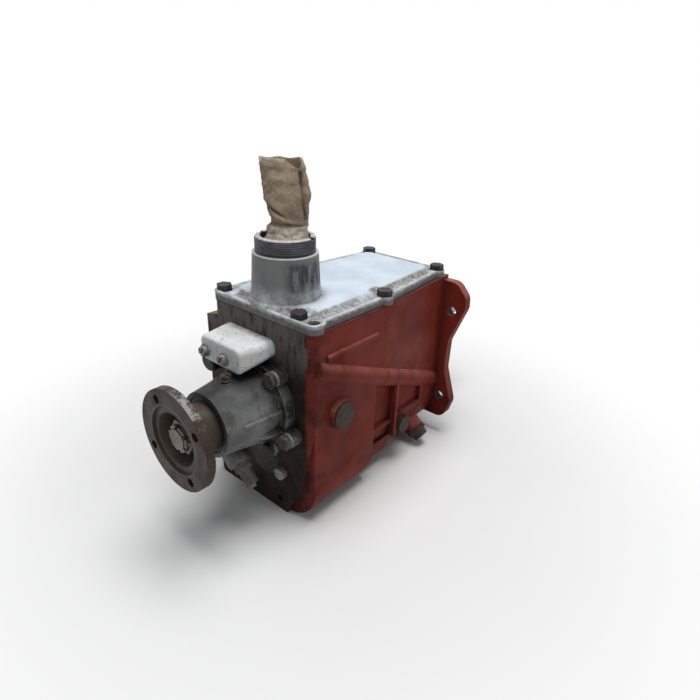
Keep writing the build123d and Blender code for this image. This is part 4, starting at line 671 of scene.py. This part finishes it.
# Threads, as ridges wound in Geometry Nodes
def thread_tree():
    """A tree that winds a ridge up the Z axis and leaves it out where the slots are."""
    tree = bpy.data.node_groups.new("thread", "GeometryNodeTree")
    face = tree.interface
    face.new_socket("Geometry", in_out="OUTPUT", socket_type="NodeSocketGeometry")
    for label in ("Turns", "Radius", "Length", "Ridge", "Slot Angle", "Slot Half Width"):
        face.new_socket(label, in_out="INPUT", socket_type="NodeSocketFloat")
    face.new_socket("Finish", in_out="INPUT", socket_type="NodeSocketMaterial")
    made = tree.nodes
    join = tree.links.new
    given = made.new("NodeGroupInput").outputs
    out = made.new("NodeGroupOutput").inputs

    helix = made.new("GeometryNodeCurveSpiral")
    helix.inputs["Resolution"].default_value = 48
    join(given["Turns"], helix.inputs["Rotations"])
    join(given["Radius"], helix.inputs["Start Radius"])
    join(given["Radius"], helix.inputs["End Radius"])
    join(given["Length"], helix.inputs["Height"])
    ridge = made.new("GeometryNodeCurvePrimitiveCircle")
    ridge.inputs["Resolution"].default_value = 4
    join(given["Ridge"], ridge.inputs["Radius"])

    place = made.new("GeometryNodeInputPosition")
    turn = made.new("ShaderNodeVectorRotate")
    turn.rotation_type = "Z_AXIS"
    join(place.outputs[0], turn.inputs["Vector"])
    join(given["Slot Angle"], turn.inputs["Angle"])
    apart = made.new("ShaderNodeSeparateXYZ")
    join(turn.outputs[0], apart.inputs[0])
    aside = made.new("ShaderNodeMath")
    aside.operation = "ABSOLUTE"
    join(apart.outputs["Y"], aside.inputs[0])
    in_slot = made.new("ShaderNodeMath")
    in_slot.operation = "LESS_THAN"
    join(aside.outputs[0], in_slot.inputs[0])
    join(given["Slot Half Width"], in_slot.inputs[1])
    cut = made.new("GeometryNodeDeleteGeometry")
    join(helix.outputs[0], cut.inputs["Geometry"])
    join(in_slot.outputs[0], cut.inputs["Selection"])

    sweep = made.new("GeometryNodeCurveToMesh")
    sweep.inputs["Fill Caps"].default_value = True
    join(cut.outputs[0], sweep.inputs["Curve"])
    join(ridge.outputs[0], sweep.inputs["Profile Curve"])
    real = made.new("GeometryNodeRealizeInstances")
    join(sweep.outputs[0], real.inputs[0])
    finish = made.new("GeometryNodeSetMaterial")
    join(real.outputs[0], finish.inputs["Geometry"])
    join(given["Finish"], finish.inputs["Material"])
    join(finish.outputs[0], out["Geometry"])
    return tree


threads = thread_tree()
ridge_sunk = 0.18
ridge_size = 0.42
stub_thread_length = 0.0042
nipple_thread_start = 0.0665
nipple_thread_length = 0.0165


def grown(name, tree, values, material, turn, body):
    """A piece from the mesh that a tree gives for these inputs, set in its place."""
    seed = linked(name + "_seed", bpy.data.meshes.new(name + "_seed"))
    modifier = seed.modifiers.new("grown", "NODES")
    modifier.node_group = tree
    for item in tree.interface.items_tree:
        if item.in_out == "INPUT" and item.name in values:
            modifier[item.identifier] = values[item.name]
    mesh = plain_mesh(seed, name)
    mesh.transform(turn)
    return new_piece(name, mesh, material, body)


def wind_thread(name, material, body, start, along, radius, length, pitch,
                gap=0.0, half_gap=-1.0):
    """A thread's ridge on a cylinder, left out over a gap at one angle and at the angle across.
    The ridge is sunk a little in the cylinder, and a half gap below 0 leaves nothing out."""
    values = {
        "Turns": length / pitch, "Radius": radius - pitch * ridge_sunk, "Length": length,
        "Ridge": pitch * ridge_size, "Slot Angle": -gap, "Slot Half Width": half_gap,
        "Finish": material,
    }
    turn = Matrix.Translation(start) @ along.to_track_quat("Z", "Y").to_matrix().to_4x4()
    return grown(name, threads, values, material, turn, body)


tower_thread_foot = Vector((tower_x, 0, tower_ledge + 0.0018))
tower_thread_length = tower_top - tower_ledge - 0.0042
wind_thread("tower_thread", thread_steel, "case", tower_thread_foot,
            Vector((0, 0, 1)), tower_thread_radius, tower_thread_length, tower_pitch,
            slot_angle, slot_half_width + 0.0006)
stub_thread_foot = Vector((stub_end + 0.0050, 0, 0))
wind_thread("stub_thread", nut_steel, "output", stub_thread_foot,
            Vector((-1, 0, 0)), stub_radius, stub_thread_length, fine_pitch)
nipple_thread_foot = speedo_foot + speedo_axis * nipple_thread_start
wind_thread("nipple_thread", nipple_steel, "case", nipple_thread_foot,
            speedo_axis, nipple_radius, nipple_thread_length, fine_pitch)


# The rag, a sack folded flat, with its broad front to the right and back
rag_across = Vector((0.6351, -0.7724, 0.0))
rag_front = Vector((-0.7724, -0.6351, 0.0))
rag_levels = (
    # height, left edge, right edge, half the thickness
    (0.1650, -0.0190, 0.0190, 0.0180),
    (0.1800, -0.0272, 0.0275, 0.0272),
    (0.1900, -0.0250, 0.0278, 0.0268),
    (0.1965, -0.0205, 0.0262, 0.0225),
    (0.2010, -0.0188, 0.0256, 0.0200),
    (0.2060, -0.0186, 0.0258, 0.0188),
    (0.2110, -0.0150, 0.0258, 0.0180),
    (0.2160, -0.0152, 0.0262, 0.0180),
    (0.2210, -0.0172, 0.0266, 0.0182),
    (0.2280, -0.0195, 0.0272, 0.0180),
    (0.2400, -0.0223, 0.0290, 0.0170),
    (0.2550, -0.0244, 0.0266, 0.0145),
    (0.2680, -0.0262, 0.0240, 0.0105),
    (0.2800, -0.0270, 0.0205, 0.0070),
)
rag_foot = rag_levels[0][0]
rag_head = rag_levels[-1][0]
rag_reach = rag_head - rag_foot
# The height above which the rag stands clear of the tower
rag_out = 0.199
rag_rounds = 168
rag_rows = 110
rag_thickness = 0.0022
mouth_depth = 0.012
mouth_rows = 8
mouth_rise = 0.0004
outline_power = 0.62
rag_girth = 0.18
weave_tile = 0.05


def rag_size(height):
    """The rag's left and right edges and half its thickness at a height, joined smoothly."""
    for lower, upper in zip(rag_levels, rag_levels[1:]):
        if height <= upper[0] or upper is rag_levels[-1]:
            share = eased(part_way(height, lower[0], upper[0] - lower[0]))
            return [a * (1 - share) + b * share for a, b in zip(lower[1:], upper[1:])]


def rag_top(aside, forward):
    """The height of the rag's upper edge. The front falls away to the right, up to a rolled tube
    at the end."""
    back = rag_head - 0.0005 - 0.0008 * sin(aside * 260)
    front = rag_head - 0.0015 - 0.0040 * part_way(-0.020 - aside, 0.0, 0.007)
    fall = part_way(aside, 0.0015, 0.0145)
    tube = part_way(aside, 0.0165, 0.003)
    front -= 0.0115 * fall * (1 - tube)
    share = part_way(forward, -0.001, 0.004)
    return back * (1 - share) + front * share


def rag_folds(aside, height, forward):
    """How far the cloth sinks in on its front, in metres. Below 0 it stands out."""
    if forward < 0 or height < rag_out:
        return 0.0
    # The deep fold down the right side, with a swell beside it
    seam = 0.0188 + 0.11 * (0.262 - height)
    start = part_way(height, 0.211, 0.006)
    deep = 0.45 + 0.55 * ridge_at(height, 0.262, 0.010) + 0.30 * ridge_at(height, 0.222, 0.010)
    sunk = 0.0056 * deep * ridge_at(aside, seam, 0.0014 + 0.0010 * deep) * start
    sunk -= 0.0024 * ridge_at(aside, seam + 0.0052, 0.0036) * start
    # The creases and rolls across the neck, the upper two slanting down to the right
    over = part_way(0.006 - aside, 0.0, 0.008)
    sunk += 0.0034 * ridge_at(height, 0.2202 - 0.62 * aside, 0.0016) * over
    sunk -= 0.0026 * ridge_at(height, 0.2165 - 0.36 * aside, 0.0026)
    sunk += 0.0040 * ridge_at(height, 0.2120 - 0.10 * aside, 0.0015) * (1 - over * 0.6)
    sunk -= 0.0016 * ridge_at(height, 0.2060, 0.0030)
    # A short crease on the left, halfway up
    crease = ridge_at(height, 0.246 + 0.9 * (aside + 0.012), 0.0030)
    sunk += 0.0014 * crease * ridge_at(aside, -0.014, 0.006)
    return sunk


def squared(turned):
    """A sine or cosine pushed outwards, for an outline between an oval and a rectangle."""
    return abs(turned) ** outline_power * (1 if turned > 0 else -1)


def rag_point(angle, share, inside):
    """The place of a point of the rag's wall, given how far round, up and in it lies, and how
    deep a fold it is in, from 0 to 1."""
    out_aside, out_forward = squared(cos(angle)), squared(sin(angle))
    left, right, half = rag_size(rag_foot + share * rag_reach)
    aside = (left + right) / 2 + (right - left) / 2 * out_aside
    top = rag_top(aside, half * out_forward)
    height = rag_foot + share * (top - rag_foot)
    left, right, half = rag_size(height)
    aside = (left + right) / 2 + ((right - left) / 2 - inside) * out_aside
    # Near the top the right side is thicker than the left
    swell = 1 + 0.30 * out_aside * part_way(height, 0.24, 0.03)
    forward = (half - inside) * out_forward * swell
    sunk = rag_folds(aside, height, out_forward)
    place = Vector((aside, forward, height))
    rough = 0.0011 * noise.noise(place * 95) + 0.0006 * noise.noise(place * 260)
    if height < rag_out:
        # Here the cloth only sinks in, to stay clear of the tower's wall
        rough = -abs(rough)
        ruffle = 0.0
    else:
        ruffle = 0.0009 * sin(angle * 11) * ridge_at(height, 0.204, 0.006)
        rough += 0.0024 * noise.noise(place * 150) * ridge_at(height, 0.2035, 0.006)
    forward += (rough - sunk) * (1 if out_forward > 0 else -1) * min(abs(out_forward) * 1.6, 1.0)
    aside += (rough + ruffle) * out_aside
    spot = rag_across * aside + rag_front * forward
    depth = part_way(sunk, 0.0, 0.0045)
    return Vector((spot.x + tower_x, spot.y, height)), depth


def rag_mesh():
    """The rag's outside, its turned-in mouth, and the end that hangs in the tower."""
    mesh = bmesh.new()
    fold_layer = mesh.verts.layers.float.new("fold_depth")
    inside_layer = mesh.verts.layers.float.new("inside")
    weave = mesh.loops.layers.uv.new("cloth")
    rows = [(row / rag_rows, 0.0) for row in range(rag_rows + 1)]
    rows.append((1.0 + mouth_rise / rag_reach, rag_thickness * 0.5))
    for step in range(mouth_rows + 1):
        rows.append((1.0 - mouth_depth / rag_reach * step / mouth_rows, rag_thickness))
    rings = []
    for share, inside in rows:
        ring = []
        for step in range(rag_rounds):
            place, depth = rag_point(2 * pi * step / rag_rounds, share, inside)
            vert = mesh.verts.new(place)
            vert[fold_layer] = depth if inside == 0 else 0.0
            vert[inside_layer] = 0.0 if inside == 0 else 0.85
            ring.append(vert)
        rings.append(ring)
    for row, (low, high) in enumerate(zip(rings, rings[1:])):
        for step in range(rag_rounds):
            after = (step + 1) % rag_rounds
            quad = mesh.faces.new((low[step], low[after], high[after], high[step]))
            quad.smooth = True
            corners = ((step, row), (step + 1, row), (step + 1, row + 1), (step, row + 1))
            for loop, (across, up) in zip(quad.loops, corners):
                round_place = across / rag_rounds * rag_girth
                loop[weave].uv = (round_place / weave_tile, up / rag_rows * rag_reach / weave_tile)
    for ring, drop in ((rings[0], -0.003), (rings[-1], -0.002)):
        centre = sum((vert.co for vert in ring), Vector()) / rag_rounds
        tip = mesh.verts.new(centre + Vector((0, 0, drop)))
        tip[inside_layer] = 0.4
        for step in range(rag_rounds):
            face = mesh.faces.new((ring[step], ring[(step + 1) % rag_rounds], tip))
            face.smooth = True
    bmesh.ops.recalc_face_normals(mesh, faces=mesh.faces)
    return mesh_data(mesh, "rag")


rag = new_piece("rag", rag_mesh(), sacking(), "case")
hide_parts("cloth_plug")


# The raised panel of the top cover, with a long soft slope that gives way round each bolt
panel_rear = 0.2960
panel_front = 0.0250
panel_half = 0.0745
panel_front_half = 0.0640
taper_station = 0.167
panel_corner = 0.016
panel_slope = 0.0135
panel_foot = cover_top - 0.0007
panel_floor = cover_top - 0.0009
panel_skirt = 0.003
panel_cell = 0.002
bolt_room = 0.0105
bolt_stations = (
    (0.2938, 0.0766), (0.2938, -0.0540), (0.2938, -0.0766), (0.1667, 0.0766), (0.1667, -0.0766),
    (0.0217, 0.0629), (0.0217, -0.0629),
)


def panel_depth(station, side):
    """How far a point lies inside the foot of the panel's slope."""
    forward = part_way(taper_station - station, 0.0, taper_station - panel_front)
    half = panel_half + (panel_front_half - panel_half) * forward
    near_side = max(panel_corner - (half - abs(side)), 0.0)
    near_end = max(panel_corner - min(station - panel_front, panel_rear - station), 0.0)
    inside = panel_corner - (near_side**2 + near_end**2) ** 0.5
    for bolt_station, bolt_side in bolt_stations:
        away = ((station - bolt_station) ** 2 + (side - bolt_side) ** 2) ** 0.5
        inside = min(inside, away - bolt_room)
    return inside


def panel_mesh():
    """A closed sheet whose top follows the slope and whose rim is sunk in the cover."""
    mesh = bmesh.new()
    columns = round((panel_rear - panel_front) / panel_cell)
    rows = round(2 * panel_half / panel_cell)
    upper, lower = {}, {}
    for column in range(columns + 1):
        for row in range(rows + 1):
            station = panel_front + column * panel_cell
            side = -panel_half + row * panel_cell
            share = eased(part_way(panel_depth(station, side), 0.0, panel_slope))
            height = panel_foot + (panel_top - panel_foot) * share
            upper[column, row] = mesh.verts.new((-station, side, height))
            lower[column, row] = mesh.verts.new((-station, side, panel_floor))
    used = set()
    for column in range(columns):
        for row in range(rows):
            station = panel_front + (column + 0.5) * panel_cell
            side = -panel_half + (row + 0.5) * panel_cell
            in_tower = (station + tower_x) ** 2 + side**2 < tower_wall_middle**2
            if panel_depth(station, side) > -panel_skirt and not in_tower:
                used.add((column, row))
    for column, row in used:
        ring = ((column, row), (column + 1, row), (column + 1, row + 1), (column, row + 1))
        mesh.faces.new([upper[spot] for spot in ring]).smooth = True
        mesh.faces.new([lower[spot] for spot in reversed(ring)])
        beside = ((column, row - 1), (column + 1, row), (column, row + 1), (column - 1, row))
        for first, second, other in zip(ring, ring[1:] + ring[:1], beside):
            if other not in used:
                mesh.faces.new((upper[second], upper[first], lower[first], lower[second]))
    loose = [vert for vert in mesh.verts if not vert.link_faces]
    bmesh.ops.delete(mesh, geom=loose, context="VERTS")
    bmesh.ops.recalc_face_normals(mesh, faces=mesh.faces)
    return mesh_data(mesh, "cover_panel")


new_piece("cover_panel", panel_mesh(), finishes["top_cover"], "case")


# Split pin through the castle nut, and the raised lip round the top cover
def bent_rod(name, points, radius, material, body):
    """A round rod bent smoothly along the points."""
    curve = bpy.data.curves.new(name, "CURVE")
    curve.dimensions = "3D"
    curve.bevel_depth = radius
    curve.bevel_resolution = 3
    curve.use_fill_caps = True
    spline = curve.splines.new("NURBS")
    spline.points.add(len(points) - 1)
    for point, place in zip(spline.points, points):
        point.co = (*place, 1.0)
    spline.order_u = 3
    spline.use_endpoint_u = True
    spline.resolution_u = 8
    mesh = plain_mesh(linked(name + "_curve", curve), name)
    for polygon in mesh.polygons:
        polygon.use_smooth = True
    return new_piece(name, mesh, material, body)


pin_radius = 0.0013
pin_x = -0.4215
pin_points = (
    (pin_x + 0.001, 0.0205, -0.001),
    (pin_x, 0.0175, 0.0),
    (pin_x, 0.0, 0.0),
    (pin_x, -0.0165, 0.0),
    (pin_x + 0.0015, -0.0195, 0.0015),
    (pin_x + 0.0050, -0.0200, 0.0030),
)
bent_rod("split_pin", pin_points, pin_radius, nut_steel, "output")

lip_radius = 0.0021
lip_height = cover_top - 0.0006
rear_lip = (
    (0.1805, 0.0801), (0.2300, 0.0801), (0.2800, 0.0801), (0.2835, 0.0803), (0.2850, 0.0850),
    (0.2935, 0.0864), (0.3020, 0.0845), (0.3036, 0.0765), (0.3036, 0.0650), (0.3036, 0.0300),
    (0.3036, 0.0), (0.3036, -0.0300), (0.3036, -0.0650), (0.3036, -0.0765), (0.3020, -0.0845),
    (0.2935, -0.0864), (0.2850, -0.0850), (0.2835, -0.0803), (0.2800, -0.0801), (0.2300, -0.0801),
    (0.1805, -0.0801),
)
side_lip = ((0.1530, 0.0788), (0.1000, 0.0740), (0.0360, 0.0682))
lips = {
    "rear_lip": rear_lip,
    "left_lip": side_lip,
    "right_lip": [(station, -side) for station, side in side_lip],
}
for name, path in lips.items():
    points = [(-station, side, lip_height) for station, side in path]
    bent_rod(name, points, lip_radius, bead_metal, "case")


# Floor, light and world
def lamp(name, place, size, power):
    """A round soft lamp that looks at the gearbox's middle."""
    data = bpy.data.lights.new(name, "AREA")
    data.shape = "DISK"
    data.size = size
    data.energy = power
    light = linked(name, data)
    light.location = place
    light.rotation_mode = "QUATERNION"
    light.rotation_quaternion = (Vector(place) - gearbox_middle).to_track_quat("Z", "Y")


lamp("sky_panel", (-0.20, -0.15, 1.7), 1.2, 28.0)
lamp("rear_panel", (-1.5, -0.5, 0.8), 0.6, 1.0)
lamp("right_panel", (-0.1, -1.5, 0.9), 0.6, 1.7)


def seen_white(tree):
    """1 for rays that look at the background, straight or by way of metal and glass."""
    path = tree.nodes.new("ShaderNodeLightPath")
    total = path.outputs["Is Camera Ray"]
    for label in ("Is Glossy Ray", "Is Transmission Ray"):
        add = tree.nodes.new("ShaderNodeMath")
        add.operation = "MAXIMUM"
        tree.links.new(total, add.inputs[0])
        tree.links.new(path.outputs[label], add.inputs[1])
        total = add.outputs[0]
    return total


room_strength = 0.15


def make_world():
    world = bpy.data.worlds.new("studio")
    world.use_nodes = True
    bpy.context.scene.world = world
    tree = world.node_tree
    tree.nodes.clear()
    out = tree.nodes.new("ShaderNodeOutputWorld")
    room = tree.nodes.new("ShaderNodeBackground")
    room.inputs["Color"].default_value = (0.93, 0.96, 1.0, 1)
    room.inputs["Strength"].default_value = room_strength
    white = tree.nodes.new("ShaderNodeBackground")
    white.inputs["Color"].default_value = (1, 1, 1, 1)
    white.inputs["Strength"].default_value = 1.0
    choose = tree.nodes.new("ShaderNodeMixShader")
    tree.links.new(seen_white(tree), choose.inputs[0])
    tree.links.new(room.outputs[0], choose.inputs[1])
    tree.links.new(white.outputs[0], choose.inputs[2])
    tree.links.new(choose.outputs[0], out.inputs["Surface"])


floor_gap = 0.0002
shadow_reach = 0.20
white_reach = 0.62


def make_floor():
    """A pale floor that takes the shadow near the gearbox and turns white further out."""
    mesh = bmesh.new()
    bmesh.ops.create_circle(mesh, cap_ends=True, radius=6.0, segments=96)
    for vert in mesh.verts:
        vert.co.z = floor_height - floor_gap
    data = mesh_data(mesh, "floor")
    floor = linked("floor", data)
    paint = Paint("floor_white")
    patches = paint.range(paint.noise(3, 3, 0.5), 0.3, 0.7)
    tone = paint.mix(patches, (0.90, 0.90, 0.90), (0.87, 0.87, 0.87))
    data.materials.append(paint.finish(tone, 0.85, 0.0, 0.1))
    far = paint.range(paint.reach(gearbox_middle, (1, 1, 0)), shadow_reach, white_reach)
    white = paint.add("ShaderNodeEmission")
    choose = paint.add("ShaderNodeMixShader")
    paint.join(paint.times(far, seen_white(paint.tree)), choose.inputs[0])
    paint.join(paint.shader.outputs[0], choose.inputs[1])
    paint.join(white.outputs[0], choose.inputs[2])
    paint.join(choose.outputs[0], paint.output.inputs["Surface"])


make_world()
make_floor()
